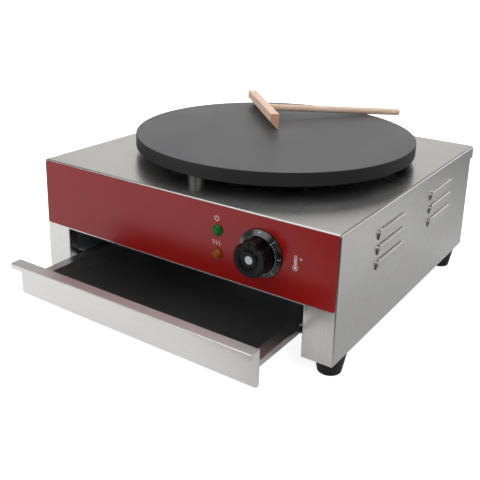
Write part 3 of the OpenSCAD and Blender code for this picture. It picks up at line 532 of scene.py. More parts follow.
# Red vitreous enamel on steel: fused to a smooth glassy coat over an even, deep red ground, so it
# takes sharp soft-edged reflections with a slight orange peel.
def enamel(name, colours):
    material, tree, at = start_material(name)
    cloud_scale, peel_mm = 60.0, 1.6
    cloud = noise(tree, at, Scale=cloud_scale, Detail=2.0)
    peel = noise(tree, at, Scale=1 / (peel_mm * mm), Detail=1.0)
    return end_material(material, {"Roughness": 0.24, "IOR": 1.5, "Specular IOR Level": 0.45}, {
        "Base Color": two_tone(tree, cloud, colours),
        "Normal": bump(tree, 0.05, 0.03, Height=peel)})


panel.data.materials.append(enamel("red_enamel", ("#860D0C", "#8E0F0E")))
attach(panel, "chassis")
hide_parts("control_panel")


def stroke(points, width):
    """A round printed line through points given as x and z on the panel's face."""
    line = bpy.data.curves.new("stroke", "CURVE")
    line.dimensions, line.bevel_depth, line.bevel_resolution = "3D", width / 2 * mm, 2
    line.use_fill_caps = True
    run = line.splines.new("POLY")
    run.points.add(len(points) - 1)
    for point, (x, z) in zip(run.points, points):
        point.co = (*spot(x, 0, z), 1)
    piece = bpy.data.objects.new("stroke", line)
    bpy.context.collection.objects.link(piece)
    return piece


def arc(x, z, radius, start_angle, end_angle, steps=24):
    """Points round a centre, from one angle to the other."""
    turns = [math.radians(start_angle + (end_angle - start_angle) * k / steps) for k in range(steps + 1)]
    return [(x + radius * math.cos(t), z + radius * math.sin(t)) for t in turns]


# Power sign over the green lamp, heat waves over the amber one, and a thermometer right of the knob.
sign_x, power_z, power_r, bar_low, bar_high, heat_z = 66, deck_z - 18, 3, 0.4, 3.6, deck_z - 48.6
wave_gap, wave_sway, wave_h, wave_steps = 4.4, 0.9, 5.6, 12
bulb_x, bulb_z, bulb_r, neck_h, drop_r, drop_w = 173, deck_z - 51.6, 3.1, 2.7, 0.6, 1.5
stem_z, stem_r, empty_h = deck_z - 38.5, 1.45, 1.5
degree_x, degree_z, degree_r = 179.6, deck_z - 39.8, 1.2
line_w, thin_w, filling_w, degree_w, print_flatness = 0.7, 0.6, 0.8, 0.5, 0.12
strokes = [(arc(sign_x, power_z, power_r, 125, 415), line_w),
           ([(sign_x, power_z + bar_high), (sign_x, power_z + bar_low)], line_w)]
for wave_x in (-wave_gap, 0, wave_gap):
    strokes.append(([(sign_x + wave_x + wave_sway * math.sin(k * math.pi / 6),
                      heat_z - wave_h / 2 + k * wave_h / wave_steps) for k in range(wave_steps + 1)], line_w))
strokes += [(arc(bulb_x, bulb_z, bulb_r, 118, 422), thin_w),
            (arc(bulb_x, bulb_z, drop_r, 0, 360, 12), drop_w),
            ([(bulb_x - stem_r, bulb_z + neck_h), (bulb_x - stem_r, stem_z),
              *arc(bulb_x, stem_z, stem_r, 180, 0, 10), (bulb_x + stem_r, bulb_z + neck_h)], thin_w),
            ([(bulb_x, bulb_z), (bulb_x, stem_z - empty_h)], filling_w),
            (arc(degree_x, degree_z, degree_r, 0, 360, 16), degree_w)]
lines = [stroke(points, width) for points, width in strokes]
select(*lines)
bpy.ops.object.convert(target="MESH")
signs = join(lines)
signs.name = signs.data.name = "panel_symbols"
signs.data.transform(Matrix.Translation(spot(0, -panel_t, 0)) @ Matrix.Diagonal((1, print_flatness, 1, 1))
                     @ Matrix.Translation(-spot(0, 0, 0)))


def matt(name, colours, roughness, grain_mm, depth=0.1, shine=0.5):
    """Two close colours mixed in grains of a real size, with a bump of a tenth of a grain times depth."""
    material, tree, at = start_material(name)
    grain = noise(tree, at, Scale=1 / (grain_mm * mm), Detail=3.0)
    return end_material(material, {"Roughness": roughness, "IOR": 1.5, "Specular IOR Level": shine}, {
        "Base Color": two_tone(tree, grain, colours, 0.3, 0.7),
        "Normal": bump(tree, depth, grain_mm * 0.1, Height=grain)})


# Screen ink, printed: matt white with the slight mottle of the screen's mesh.
signs.data.materials.append(matt("white_screen_ink", ("#D8D4D2", "#F0EEEC"), 0.6, 0.5))
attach(signs, "chassis")


# ---- Griddle ----
# A cast-iron plate, turned flat on top and round its skirt and then seasoned. Three bosses under it
# take the studs that hold it up on steel spacers, and three more the clamps of the element.
griddle_r, skirt_z, griddle_z = 200, deck_z + 11, deck_z + 29.5
skirt_t, web_z, boss_root = 10, griddle_z - 9, 4
rim_edge_r, skirt_edge_r, boss_edge_r = 1.3, 2, 0.8
stud_boss_r, clamp_boss_r, clamp_ring, clip_y, clip_dy = 12, 9, 125, griddle_y - 44, 12
stud_bore, clamp_bore, clip_bore = (8.1, 22), (6.1, 18), (4.1, 8)


def start_rod(name, sides, radius, length, middle, turned=(0, 0, 0)):
    """A new cylinder about a point of Blender's, upright unless it is turned."""
    return start(name, bpy.ops.mesh.primitive_cylinder_add, vertices=sides, radius=radius * mm,
                 depth=length * mm, location=middle, rotation=turned)


def inset(width, rise=0, **settings):
    """Draws the selected faces in by a width, and raises or sinks what is left of them."""
    bpy.ops.mesh.inset(thickness=width * mm, depth=rise * mm, **settings)


plate = start_rod("griddle_casting", 240, griddle_r, griddle_z - skirt_z,
                  spot(0, griddle_y, (griddle_z + skirt_z) / 2))
pick("FACE", lambda c, n, f: n.z < -square)
inset(skirt_t)
fold(z=web_z - skirt_z)
round_off(rim_edge_r, 4, lambda c, d, e: near(c.z, griddle_z))
round_off(skirt_edge_r, 4,
          lambda c, d, e: near(c.z, skirt_z) and math.hypot(c.x, c.y - griddle_y) > griddle_r - 1)
close(plate)
clamp_spots = ring_spots(clamp_ring, (0, 120, 240))
for spots, foot, radius in ((post_spots, skirt_z, stud_boss_r), (clamp_spots, web_z - 3, clamp_boss_r)):
    for x, y in spots:
        boss = start_rod("boss", 48, radius, web_z + boss_root - foot,
                         spot(x, y, (web_z + boss_root + foot) / 2))
        round_off(boss_edge_r, 2, lambda c, d, e: near(c.z, foot) and not near(abs(d.z), 1))
        close(boss)
        merge(plate, boss, "UNION")
drill(plate, [((x, y, skirt_z - 1), along_z, *stud_bore) for x, y in post_spots]
      + [((x, y, web_z - 4), along_z, *clamp_bore) for x, y in clamp_spots]
      + [((0, clip_y + dy, web_z - 1), along_z, *clip_bore) for dy in (-clip_dy, clip_dy)])
smooth(plate)


# Seasoned cast iron: near black under baked-on oil. The turned cooking face is smooth, with a satin
# sheen that brightens towards a low eye; the skirt keeps the sandy skin of its mould and stays dull.
def seasoned_iron(name, colours, roughness, sand_depth, ring_depth, shine):
    material, tree, at = start_material(name)
    sand_mm, patch_scale, ring_mm = 0.9, 9.0, 0.8
    centred = add_node(tree, "Mapping", values={"Location": -spot(0, griddle_y, 0)}, links={"Vector": at})
    sand = noise(tree, at, Scale=1 / (sand_mm * mm), Detail=3.0, Roughness=0.6)
    rings = add_node(tree, "TexWave", {"wave_type": "RINGS", "rings_direction": "Z"},
                     {"Scale": 1 / (20 * ring_mm * mm), "Distortion": 0.3}, {"Vector": centred.outputs[0]})
    patch = noise(tree, at, Scale=patch_scale, Detail=3.0)
    turned = bump(tree, ring_depth, 0.02, Height=rings.outputs[0])
    return end_material(material, {"IOR": 1.5, "Specular IOR Level": shine}, {
        "Base Color": two_tone(tree, patch, colours),
        "Roughness": remap(tree, patch, 0.3, 0.7, roughness, roughness + 0.08),
        "Normal": bump(tree, sand_depth, 0.1, Height=sand, Normal=turned)})


# The face takes a lighter grey than the skirt, partly for its turned finish and partly as painted sheen; the
# skirt and the underside, every face not turned up, take a darker one, partly for their cast skin and partly
# as painted shade.
for look in (("seasoned_iron_face", ("#484A4D", "#525357"), 0.36, 0.05, 0.03, 0.5),
             ("seasoned_iron_skirt", ("#212122", "#2A2A2A"), 0.5, 0.3, 0.0, 0.3)):
    plate.data.materials.append(seasoned_iron(*look))
for face in plate.data.polygons:
    face.material_index = int(face.normal.z < 0.8)
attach(plate, "chassis")
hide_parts("griddle_plate")


def dress(material, *nodes):
    """Gives the CAD's own pieces a material."""
    for node in nodes:
        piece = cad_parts[node]
        piece.data.materials.clear()
        piece.data.materials.append(material)


# Bar steel, turned: fine rings round its axis and a satin face, in a dark grey.
dress(brushed_steel("turned_steel", ("#6E6C69", "#83817D"), "Z", 0.38, 0.5), "plate_spacers")


# ---- Drawer ----
# A shallow steel tray that catches drips. Its rim is folded out and down to run in the two rails,
# and a bright stainless front, folded forward into a handle, is spot-welded to it.
drawer_y, front_low, front_high, front_half = -drawer_out, foot_h + 3, deck_z - 107.5, 183.25
handle_l, lip_h, drawer_bend_r, front_corner_r, lip_corner_r = 15.3, 7.4, 1.7, 5, 1
drawer_front = start_box("drawer_front_sheet", (-front_half, drawer_y, front_low),
                         (front_half, drawer_y + sheet_t, front_high))
pick("FACE", lambda c, n, f: n.y < square)
bpy.ops.mesh.delete(type="FACE")
pick("EDGE", lambda c, d, e: near(c.z, front_high))
fold(y=-handle_l - sheet_t)
pick("EDGE", lambda c, d, e: near(c.y, drawer_y - handle_l))
fold(z=-lip_h)
round_off(drawer_bend_r, 5, lambda c, d, e: not e.is_boundary)
bpy.ops.mesh.select_all(action="SELECT")
bpy.ops.mesh.normals_make_consistent(inside=False)
bpy.ops.object.mode_set(mode="OBJECT")
apply_modifier(drawer_front, "SOLIDIFY", thickness=sheet_t * mm, offset=-1)
bpy.ops.object.mode_set(mode="EDIT")
for corner_z, radius, steps in ((front_low, front_corner_r, 6), (front_high - lip_h, lip_corner_r, 3)):
    round_off(radius, steps,
              lambda c, d, e: near(abs(c.x), front_half) and near(c.z, corner_z) and abs(d.y) > square)
close(drawer_front)
# Stainless sheet with a coarser, paler brushing than the body's: it scatters more and looks whiter.
drawer_front.data.materials.append(brushed_steel("brushed_steel_drawer", ("#DDDCDB", "#E8E7E6"), "X", 0.42))
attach(drawer_front, "drawer")
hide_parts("drawer_front")

tray_front, tray_back, pan_half, rim_half = drawer_y + sheet_t, drawer_y + sheet_t + 400, 160.8, 176
rim_z, pan_floor, rim_drop, tray_bend_r = deck_z - 130.4, deck_z - 150, 7.2, 1.5
tray = start_box("drawer_tray_sheet", (-pan_half, tray_front + sheet_t, pan_floor),
                 (pan_half, tray_back - sheet_t, rim_z))
pick("FACE", lambda c, n, f: n.z > square)
bpy.ops.mesh.delete(type="ONLY_FACE")
for side in (-1, 1):
    pick("EDGE", lambda c, d, e: near(c.x, side * pan_half) and near(c.z, rim_z))
    fold(x=side * (rim_half - pan_half))
    pick("EDGE", lambda c, d, e: near(c.x, side * rim_half))
    fold(z=-rim_drop)
    for edge_y, way in ((tray_front + sheet_t, -1), (tray_back - sheet_t, 1)):
        pick("VERT", lambda c, n, v: c.x * side > pan_half + 1 and near(c.y, edge_y))
        shift(y=way * sheet_t)
round_off(tray_bend_r, 4, lambda c, d, e: bent(e))
pick("FACE", lambda c, n, f: True)
bpy.ops.mesh.flip_normals()
bpy.ops.object.mode_set(mode="OBJECT")
apply_modifier(tray, "SOLIDIFY", thickness=sheet_t * mm, offset=-1)
smooth(tray)
# Stainless sheet as it left the rolls: a faint lengthwise grain, smoother and greyer than the front.
tray.data.materials.append(brushed_steel("rolled_steel_tray", ("#C6C5C4", "#CECDCC"), "Y", grain_mm=1.0))
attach(tray, "drawer")
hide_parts("drawer_tray")


# ---- Rails, drawer housing and base frame ----
# Folded from zinc-plated sheet: the housing closes the drawer's bay off from the wiring above it,
# the rails are riveted into it, and the base frame stiffens the body between the feet.
def zinc_plate(name, colours, roughness=0.42, crystal_mm=7):
    """Plated steel with a patchwork of crystals of a real size."""
    material, tree, at = start_material(name)
    crystals = add_node(tree, "TexVoronoi", values={"Scale": 1 / (crystal_mm * mm)}, links={"Vector": at})
    shade = add_node(tree, "SeparateColor", links={"Color": crystals.outputs["Color"]}).outputs
    return end_material(material, {"Metallic": 1.0}, {
        "Base Color": two_tone(tree, shade[0], colours),
        "Roughness": remap(tree, shade[1], 0.0, 1.0, roughness, roughness + 0.1)})


# Hot-dip zinc: a bluish grey with a soft patchwork of crystals, duller than the stainless steel.
dress(zinc_plate("zinc_plated_sheet", ("#A2A6AA", "#B0B4B8")), "drawer_housing", "base_frame",
      "left_drawer_rail", "right_drawer_rail", "element_clamps", "bulb_clip")
# Bright zinc, electroplated on small parts: a paler bluish white and smoother than the dipped sheet.
bright_zinc = zinc_plate("bright_zinc_fasteners", ("#B9BCC0", "#C6C9CC"), 0.28, 1.5)
dress(bright_zinc, "rail_rivets", "plate_studs", "plate_nuts", "clamp_studs", "clamp_nuts", "clip_screws",
      "foot_screws", "foot_nuts", "housing_screws", "rear_panel_screws", "thermostat_screws")


# ---- Knob ----
# Two phenolic mouldings. The dial ring is fixed to the panel and printed with plain numbers, and the
# grip, with a pointer between two finger waists, turns on the thermostat's spindle.
lying = (math.pi / 2, 0, 0)
dial_r, dial_top_r, dial_wall, dial_flat, dial_face, dial_floor = 29.2, 22.8, 0.6, 3, 7, 3.6
dial_edge_r, spindle_room, screw_head_room = 0.5, (10.6, 12), (8, 12)
dial = start_rod("knob_dial_ring", 128, dial_r, dial_flat - panel_t,
                 spot(knob_x, -(dial_flat + panel_t) / 2, knob_z), lying)
pick("FACE", lambda c, n, f: n.y < -square)
inset(dial_r - dial_top_r, dial_face - dial_flat)
inset(dial_wall)
fold(y=dial_face - dial_floor)
round_off(dial_edge_r, 3, lambda c, d, e: e.calc_face_angle(0) > 0.3 and c.y < -dial_flat + 0.1 and
          math.hypot(c.x - knob_x, c.z - knob_z) > 21)
close(dial)
drill(dial, [((knob_x, -dial_flat, knob_z), along_y, *spindle_room)]
      + [((knob_x + dx, -dial_flat, knob_z), along_y, *screw_head_room)
         for dx in (-stat_screw_dx, stat_screw_dx)])
smooth(dial)
# Phenolic, moulded in a polished mould: deep black, with a sheen along its slope and edges.
dial.data.materials.append(matt("moulded_phenolic_dial", ("#0B0B0E", "#0F0F13"), 0.22, 0.6, 0.05, 1.0))
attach(dial, "chassis")
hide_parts("knob_dial")

# Numbers, dots and the zero mark are printed on the dial's slope.
slope = math.atan2(dial_face - dial_flat, dial_r - dial_top_r)
digit_h, number_r, number_step, print_t, print_lift, zero_r = 5, 26.6, 45, 0.06, 0.04, 1.9
dot_ring, dot_count, dot_step, dot_r, big_dot_r = 23.6, 31, 7.5, 0.42, 0.62
marks = []


def on_dial(piece, degrees, radius):
    """Lays a piece drawn about the origin, upright on z, on the dial's slope, clockwise from the top."""
    depth = -dial_flat - (dial_r - radius) * math.tan(slope) - print_lift
    piece.data.transform(Matrix.Translation(spot(knob_x, depth, knob_z))
                         @ Matrix.Rotation(math.radians(degrees), 4, "Y")
                         @ Matrix.Translation((0, 0, radius * mm)) @ Matrix.Rotation(-slope, 4, "X"))
    marks.append(piece)


zero_mark = start_rod("zero_mark", 3, zero_r, print_t, (0, 0, 0), lying)
bpy.ops.object.mode_set(mode="OBJECT")
zero_mark.data.transform(Matrix.Rotation(math.pi, 4, "Y"))
on_dial(zero_mark, 0, number_r)
for number in range(1, 7):
    bpy.ops.object.select_all(action="DESELECT")
    bpy.ops.object.text_add()
    digit = bpy.context.object
    digit.data.body, digit.data.size, digit.data.extrude = str(number), digit_h * mm, print_t / 2 * mm
    digit.data.align_x, digit.data.align_y = "CENTER", "CENTER"
    bpy.ops.object.convert(target="MESH")
    digit.data.transform(Matrix.Rotation(math.pi / 2, 4, "X"))
    on_dial(digit, number * number_step, number_r)
for k in range(dot_count):
    dot = start_rod("dot", 12, big_dot_r if k % 5 == 0 else dot_r, print_t, (0, 0, 0), lying)
    bpy.ops.object.mode_set(mode="OBJECT")
    on_dial(dot, number_step + k * dot_step, dot_ring)
dial_print = join(marks)
dial_print.name = dial_print.data.name = "dial_print"
dial_print.data.materials.clear()
# Screen ink again, in a pale matt grey.
dial_print.data.materials.append(matt("grey_screen_ink", ("#A4A9B2", "#B6BBC4"), 0.6, 0.5))
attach(dial_print, "chassis")

grip_r, grip_back, grip_reach, grip_edge_r = 21.5, 4, 25, 1.9
shaft_room_r, shaft_room_l, shaft_r, shaft_l = 6, 4, 3.05, 12
face_rings = ((2.2, 0), (5.2, -0.25), (1.6, -0.75), (0.9, -0.2), (1.2, 0.5), (1.2, 0.3), (4.1, 0),
              (0.1, -0.6))
waist_at, waist_half, waist_depth, waist_from = 38, 20, 4, 13
notch_half, notch_low, notch_high, notch_depth = 0.35, 13.5, 23, 0.7
grip = start_rod("knob_grip_moulding", 180, grip_r, grip_reach - grip_back,
                 spot(knob_x, -(grip_reach + grip_back) / 2, knob_z), lying)
pick("FACE", lambda c, n, f: n.y > square)
inset(grip_r - shaft_room_r)
fold(y=-shaft_room_l)
inset(shaft_room_r - shaft_r)
fold(y=-shaft_l)
pick("FACE", lambda c, n, f: n.y < -square and c.y < 1 - grip_reach)
for width, rise in face_rings:
    inset(width, rise)
round_off(grip_edge_r, 6,
          lambda c, d, e: near(c.y, -grip_reach) and math.hypot(c.x - knob_x, c.z - knob_z) > grip_r - 0.5)
grip.update_from_editmode()
bpy.ops.object.mode_set(mode="OBJECT")
for corner in grip.data.vertices:
    out = corner.co - spot(knob_x, 0, knob_z)
    out.y = 0
    off_waist = abs(math.degrees(math.atan2(out.x, out.z))) - waist_at
    if out.length > waist_from * mm and abs(off_waist) < waist_half:
        share = math.cos(math.radians(off_waist * 90 / waist_half)) ** 2
        corner.co -= out.normalized() * waist_depth * mm * share
notch = start_box("notch", (knob_x - notch_half, -grip_reach - 1, knob_z + notch_low),
                  (knob_x + notch_half, -grip_reach + notch_depth, knob_z + notch_high))
close(notch)
merge(grip, notch, "DIFFERENCE")
smooth(grip)
# Phenolic, moulded: black with a fine satin skin, which mirrors little.
grip.data.materials.append(matt("moulded_phenolic_black", ("#060709", "#08090C"), 0.24, 0.6, 0.05, 0.2))
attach(grip, "knob")
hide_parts("knob_grip")

insert_r, insert_t, insert_sunk, insert_rim, insert_dish, insert_edge_r = 5, 1.1, 0.35, 0.9, 0.25, 0.15
insert = start_rod("knob_centre_disc", 64, insert_r, insert_t,
                   spot(knob_x, -grip_reach + insert_sunk, knob_z), lying)
pick("FACE", lambda c, n, f: n.y < -square)
inset(insert_rim, -insert_dish)
round_off(insert_edge_r, 2, lambda c, d, e: bent(e, 20) and c.y < -grip_reach)
close(insert)
# Aluminium, spun and left clear: a pale silver face with a fine satin grain.
insert.data.materials.append(brushed_steel("spun_aluminium", ("#AEB1B6", "#BCBFC4"), "Y", 0.25, 0.5))
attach(insert, "knob")
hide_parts("knob_insert")


# ---- Lamps ----
# Faceted lenses of coloured polycarbonate, pushed through the panel and held by a nut behind it.
lens_r, lens_flange, lens_facets = 7, 2, 12
lens_steps = ((0.8, 0.4), (1.7, 2.2), (1.2, 0.35))
lens_colours = {"green": ("#004A1A", "#00702A"), "amber": ("#6A2E00", "#924A00")}


# Polycarbonate, moulded: glassy and deep in colour, with flow marks that show as a soft mottle.
def clear_plastic(name, colours):
    material, tree, at = start_material(name)
    flow = noise(tree, at, Scale=1 / (3 * mm), Detail=1.0)
    return end_material(material, {"Roughness": 0.08, "IOR": 1.58, "Specular IOR Level": 0.18},
                        {"Base Color": two_tone(tree, flow, colours)})


for (name, colours), lamp_z in zip(lens_colours.items(), lamp_zs):
    lens = start_rod(name + "_lens", lens_facets, lens_r, lens_flange,
                     spot(lamp_x, -panel_t - lens_flange / 2, lamp_z), lying)
    pick("FACE", lambda c, n, f: n.y < -square)
    for width, rise in lens_steps:
        inset(width, rise)
    close(lens, 10)
    lens.data.materials.append(clear_plastic(name + "_polycarbonate", colours))
    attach(lens, "chassis")
    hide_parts(name + "_lamp_lens")


# ---- Feet ----
# Tapered rubber feet, moulded with a recess for the screw that holds each to the base frame.
foot_low_r, foot_high_r, foot_recess_r, foot_edge_r, foot_top_edge_r = 14.3, 19.5, 6.5, 1.5, 0.6
foot = start("foot", bpy.ops.mesh.primitive_cone_add, vertices=64, radius1=foot_low_r * mm,
             radius2=foot_high_r * mm, depth=foot_h * mm, location=spot(0, 0, foot_h / 2))
pick("FACE", lambda c, n, f: n.z < -square)
inset(foot_low_r - foot_recess_r)
fold(z=foot_h / 2)
round_off(foot_edge_r, 4, lambda c, d, e: near(c.z, 0) and math.hypot(c.x, c.y) > foot_low_r - 0.3)
round_off(foot_top_edge_r, 2, lambda c, d, e: near(c.z, foot_h))
close(foot)
drill(foot, [((0, 0, foot_h - 5), along_z, foot_hole, 30)])
# Rubber, moulded: near black and matt, with a fine grain.
foot.data.materials.append(matt("moulded_rubber", ("#0E0E0E", "#131313"), 0.5, 0.8, 0.15, 0.35))
for row, y in zip(("front", "rear"), foot_ys):
    for hand, x in zip(("left", "right"), foot_xs):
        copy = copy_of(foot, Matrix.Translation((x * mm, y * mm, 0)))
        copy.name = copy.data.name = f"{row}_{hand}_rubber_foot"
        smooth(copy)
        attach(copy, "chassis")
        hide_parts(f"{row}_{hand}_foot")
bpy.data.objects.remove(foot)


# ---- Spreader ----
# A batter spreader of bare beech: a planed head with one long bevel, and a dowel glued into it.
# Its head stands on the griddle and its handle leans on the rim.
head_l, head_h, head_t, head_face = 178, 23, 13, 0.75
chamfer_start, chamfer_way = -0.75, (-10.7, 0, -11.5)
dowel_z, dowel_r, dowel_l, dowel_root, head_edge_r, dowel_edge_r = 14.1, 5.2, 220.8, 10, 0.5, 1.5
spreader_x, spreader_y, spreader_lift = -63.5, 307.4, 0.35
spreader_turn, spreader_tilt = math.radians(43.86), math.radians(3.003)
laid = (Matrix.Translation(spot(spreader_x, spreader_y, griddle_z + spreader_lift))
        @ Matrix.Rotation(spreader_turn, 4, "Z") @ Matrix.Rotation(spreader_tilt, 4, "Y")
        @ Matrix.Translation(-spot(0, 0, 0)))
head = start_box("spreader_head_beech", (head_face - head_t, -head_l / 2, 0), (head_face, head_l / 2, head_h))
pick("FACE", lambda c, n, f: True)
cut_at((chamfer_start, 0, 0), chamfer_way, use_fill=True, clear_outer=True)
round_off(head_edge_r, 3, lambda c, d, e: bent(e, 20))
close(head)
head.data.transform(laid)
dowel = start_rod("spreader_dowel_beech", 48, dowel_r, dowel_l + dowel_root,
                  spot(head_face - dowel_root + (dowel_l + dowel_root) / 2, 0, dowel_z), (0, math.pi / 2, 0))
round_off(dowel_edge_r, 4, lambda c, d, e: c.x > dowel_l and not abs(d.x) > square)
close(dowel)
dowel.data.transform(laid)


# Beech, planed and sanded, unoiled: pale pinkish tan with fine straight grain and short darker
# flecks, matt. Its sawn ends take in more light and look browner.
def beech(name, turn_to_grain, colours):
    material, tree, at = start_material(name)
    turned = add_node(tree, "Mapping", {"vector_type": "TEXTURE"}, {"Rotation": (0, 0, turn_to_grain)},
                      {"Vector": at}).outputs[0]
    grain_at, fleck_at = [
        add_node(tree, "Mapping", values={"Scale": (1 / (length * mm), 1 / (width * mm), 1 / (width * mm))},
                 links={"Vector": turned}).outputs[0] for length, width in ((60, 2.2), (6, 0.8))]
    grain = noise(tree, grain_at, Scale=1.0, Detail=4.0, Distortion=0.4)
    fleck = noise(tree, fleck_at, Scale=1.0, Detail=1.0)
    colour = add_node(tree, "Mix", {"data_type": "RGBA"}, {7: linear("#BC8A64")},
                      {0: remap(tree, fleck, 0.62, 0.72, 0.0, 0.4),
                       6: two_tone(tree, grain, colours, 0.32, 0.66)})
    return end_material(material, {"Roughness": 0.62, "IOR": 1.5}, {
        "Base Color": colour.outputs[2], "Normal": bump(tree, 0.25, 0.08, Height=fleck)})


for piece, node, name, grain_way, colours in (
        (head, "spreader_head", "beech_head", spreader_turn + math.pi / 2, ("#E6C0A3", "#F8DEC9")),
        (dowel, "spreader_handle", "beech_dowel", spreader_turn, ("#DBB89D", "#F0D6C4"))):
    piece.data.materials.append(beech(name, grain_way, colours))
    if piece is head:
        piece.data.materials.append(beech("beech_end_grain", grain_way, ("#D09A78", "#E3B292")))
        length = Vector((-math.sin(spreader_turn), math.cos(spreader_turn), 0))
        for face in piece.data.polygons:
            face.material_index = int(abs(face.normal.dot(length)) > 0.9)
    smooth(piece)
    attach(piece, "spreader")
    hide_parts(node)


# ---- Rear panel and cable gland ----
# A flat stainless plate with four rows of vents, held to the body's rear flanges by five screws. The
# supply cord's gland is a black nylon fitting with a ribbed cap over a rubber seal.
# The plate is brushed like the body, a little darker.
dress(brushed_steel("brushed_steel_rear", ("#C4C3C1", "#D1D0CE"), "X"), "rear_panel")
gland_x, gland_z, gland_face = -150, deck_z - 64, body_d + sheet_t
gland_hex_r, gland_hex_t, cap_r, cap_t, thread_r, thread_l = 11 / math.cos(math.pi / 6), 6, 10.5, 8, 8, 12
cap_steps = ((1.2, 3.5), (1.6, 2.4))
rib_step, rib_edge, rib_depth, cord_bore, hex_edge_r, thread_edge_r = 7.5, 0.25, 0.5, (10.4, 40), 0.6, 0.8
gland = start_rod("gland_body_nylon", 6, gland_hex_r, gland_hex_t,
                  spot(gland_x, gland_face + 3, gland_z), lying)
round_off(hex_edge_r, 2, lambda c, d, e: True)
close(gland)
cap = start_rod("gland_cap", 48, cap_r, cap_t, spot(gland_x, gland_face + 9.5, gland_z), lying)
pick("FACE", lambda c, n, f: n.y > square)
for width, rise in cap_steps:
    inset(width, rise)
pick("FACE", lambda c, n, f: abs(n.y) < 0.1 and
     round(math.degrees(math.atan2(c.z - gland_z, c.x - gland_x)) / rib_step - 0.5) % 2 == 0)
inset(rib_edge, -rib_depth, use_individual=True)
close(cap)
merge(gland, cap, "UNION")
thread = start_rod("gland_thread", 48, thread_r, thread_l, spot(gland_x, gland_face - 3.2, gland_z), lying)
round_off(thread_edge_r, 2, lambda c, d, e: c.y < body_d - 7)
close(thread)
merge(gland, thread, "UNION")
drill(gland, [((gland_x, gland_face + 5, gland_z), along_y, *cord_bore)])
smooth(gland)

# Polyamide, moulded: black, satin, with a very fine eroded grain.
black_nylon = matt("moulded_nylon_black", ("#121213", "#18181A"), 0.42, 0.5, 0.12, 0.4)
gland.data.materials.append(black_nylon)
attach(gland, "chassis")
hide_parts("cable_gland")
dress(black_nylon, "gland_nut", "lamp_nuts")


# ---- Screws ----
# Zinc-plated pan heads with a cross drive: five in the rear panel, three up into the drawer housing.
# Each is a domed head on a plain shank.
def pan_screws(name, node, moves, head_r, head_h, shank_r, shank_l):
    """Copies of one screw, whose head stands up from z = 0."""
    screw = start_rod("screw", 32, head_r, head_h, (0, 0, head_h / 2 * mm))
    dome, drive_l, drive_w, drive_taper = 0.55, 1.1, 0.26, 0.5
    round_off(head_h * dome, 4, lambda c, d, e: near(c.z, head_h))
    pick("FACE", lambda c, n, f: n.z < -square)
    inset(head_r - shank_r)
    fold(z=-shank_l)
    close(screw)
    for turn_way in (0, math.pi / 2):
        drive = start("drive", bpy.ops.mesh.primitive_cube_add, size=1, location=(0, 0, head_h * mm),
                      rotation=(0, 0, turn_way),
                      scale=(head_r * drive_l * mm, head_r * drive_w * mm, head_h * mm))
        pick("VERT", lambda c, n, v: c.z < head_h)
        bpy.ops.transform.resize(value=(drive_taper, drive_taper, 1))
        close(drive)
        merge(screw, drive, "DIFFERENCE")
    screws = copies(screw, moves)
    screws.name = screws.data.name = name
    smooth(screws)
    screws.data.materials.append(bright_zinc)
    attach(screws, "chassis")
    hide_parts(node)


pan_screws("rear_panel_pan_screws", "rear_panel_screws",
           [Matrix.Translation(spot(x, body_d + sheet_t, foot_h + up)) @ Matrix.Rotation(-math.pi / 2, 4, "X")
            for x, up in rear_screws + [(0, 8)]], head_r=3.2, head_h=2, shank_r=1.55, shank_l=6)
pan_screws("housing_pan_screws", "housing_screws",
           [Matrix.Translation(spot(x, housing_screw_y, opening_z)) @ Matrix.Rotation(math.pi, 4, "X")
            for x in housing_screw_xs], head_r=2.7, head_h=2, shank_r=1.25, shank_l=4.5)


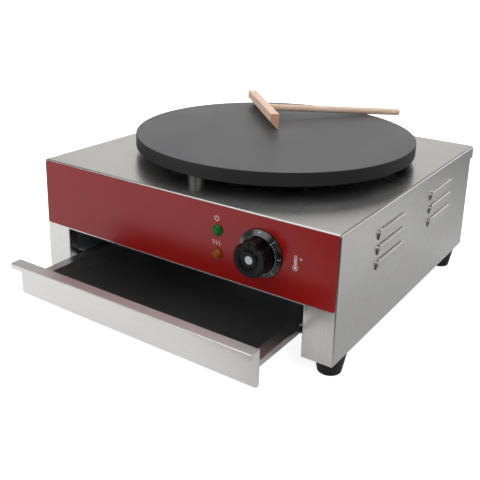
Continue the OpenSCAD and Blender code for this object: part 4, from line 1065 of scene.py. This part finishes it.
# ---- Heating element, dish and insulation ----
# A tubular element lies under the griddle in two loops, held up by clamp bars. Under it a shallow
# yellow-passivated dish, packed with a mineral wool disc, throws the heat back.
# Heat-tarnished sheath: dark brown-grey oxide, dull.
dress(matt("tarnished_sheath", ("#2C2622", "#40372F"), 0.6, 3.0), "heating_element")
# Yellow chromate over zinc: gold in broad olive and rose patches, softly glossy.
dress(zinc_plate("yellow_passivated_steel", ("#B08A3A", "#C9A95C"), 0.34, 30), "reflector_dish")
# Mineral wool, needled: pale buff, matt and fibrous.
dress(matt("mineral_wool", ("#B7AC8F", "#CFC6AC"), 0.95, 1.2, 0.8, 0.2), "insulation_disc")
# Steatite, pressed and fired: off-white, dense and matt.
dress(matt("steatite_ceramic", ("#DDD8CC", "#E8E4DA"), 0.55, 0.8), "element_beads", "thermal_cutout",
      "terminal_block")


# ---- Thermostat, lamps' bodies and wiring ----
# The thermostat is screwed to the front behind the knob, and feels the griddle through a copper bulb
# and capillary. Leads run from the terminal block through the cut-out and the thermostat.
# Phenolic, moulded: dark brown with a fine lighter filler.
dress(matt("moulded_phenolic_brown", ("#3A2013", "#4A2B1A"), 0.42, 0.7), "thermostat_body")


# Drawn copper and turned brass: bright warm metal, browned and dulled in patches.
def warm_metal(name, colours, roughness=0.28):
    material, tree, at = start_material(name)
    patch = noise(tree, at, Scale=1 / (8 * mm), Detail=4.0)
    return end_material(material, {"Metallic": 1.0}, {
        "Base Color": two_tone(tree, patch, colours),
        "Roughness": remap(tree, patch, 0.0, 1.0, roughness + 0.15, roughness)})


dress(warm_metal("drawn_copper", ("#8A4F33", "#C98660")), "capillary_tube", "sensor_bulb")
dress(warm_metal("turned_brass", ("#A8853F", "#D0B16A")), "terminal_screws", "earth_stud")
# Free-cutting steel, drawn: bright, with fine lines along the spindle.
dress(brushed_steel("turned_spindle_steel", ("#B9B8B6", "#C8C7C5"), "Y", 0.28, 0.4), "thermostat_spindle")
# Natural nylon: milky white, slightly waxy.
dress(matt("moulded_nylon_natural", ("#D2D0C4", "#DDDBD0"), 0.4, 0.8, 0.08), "green_lamp_body",
      "amber_lamp_body")
# Silicone insulation, extruded: brick red, matt and soft.
dress(matt("extruded_silicone", ("#9A2D1E", "#AC3A28"), 0.6, 1.0, 0.08), "wiring_loom")
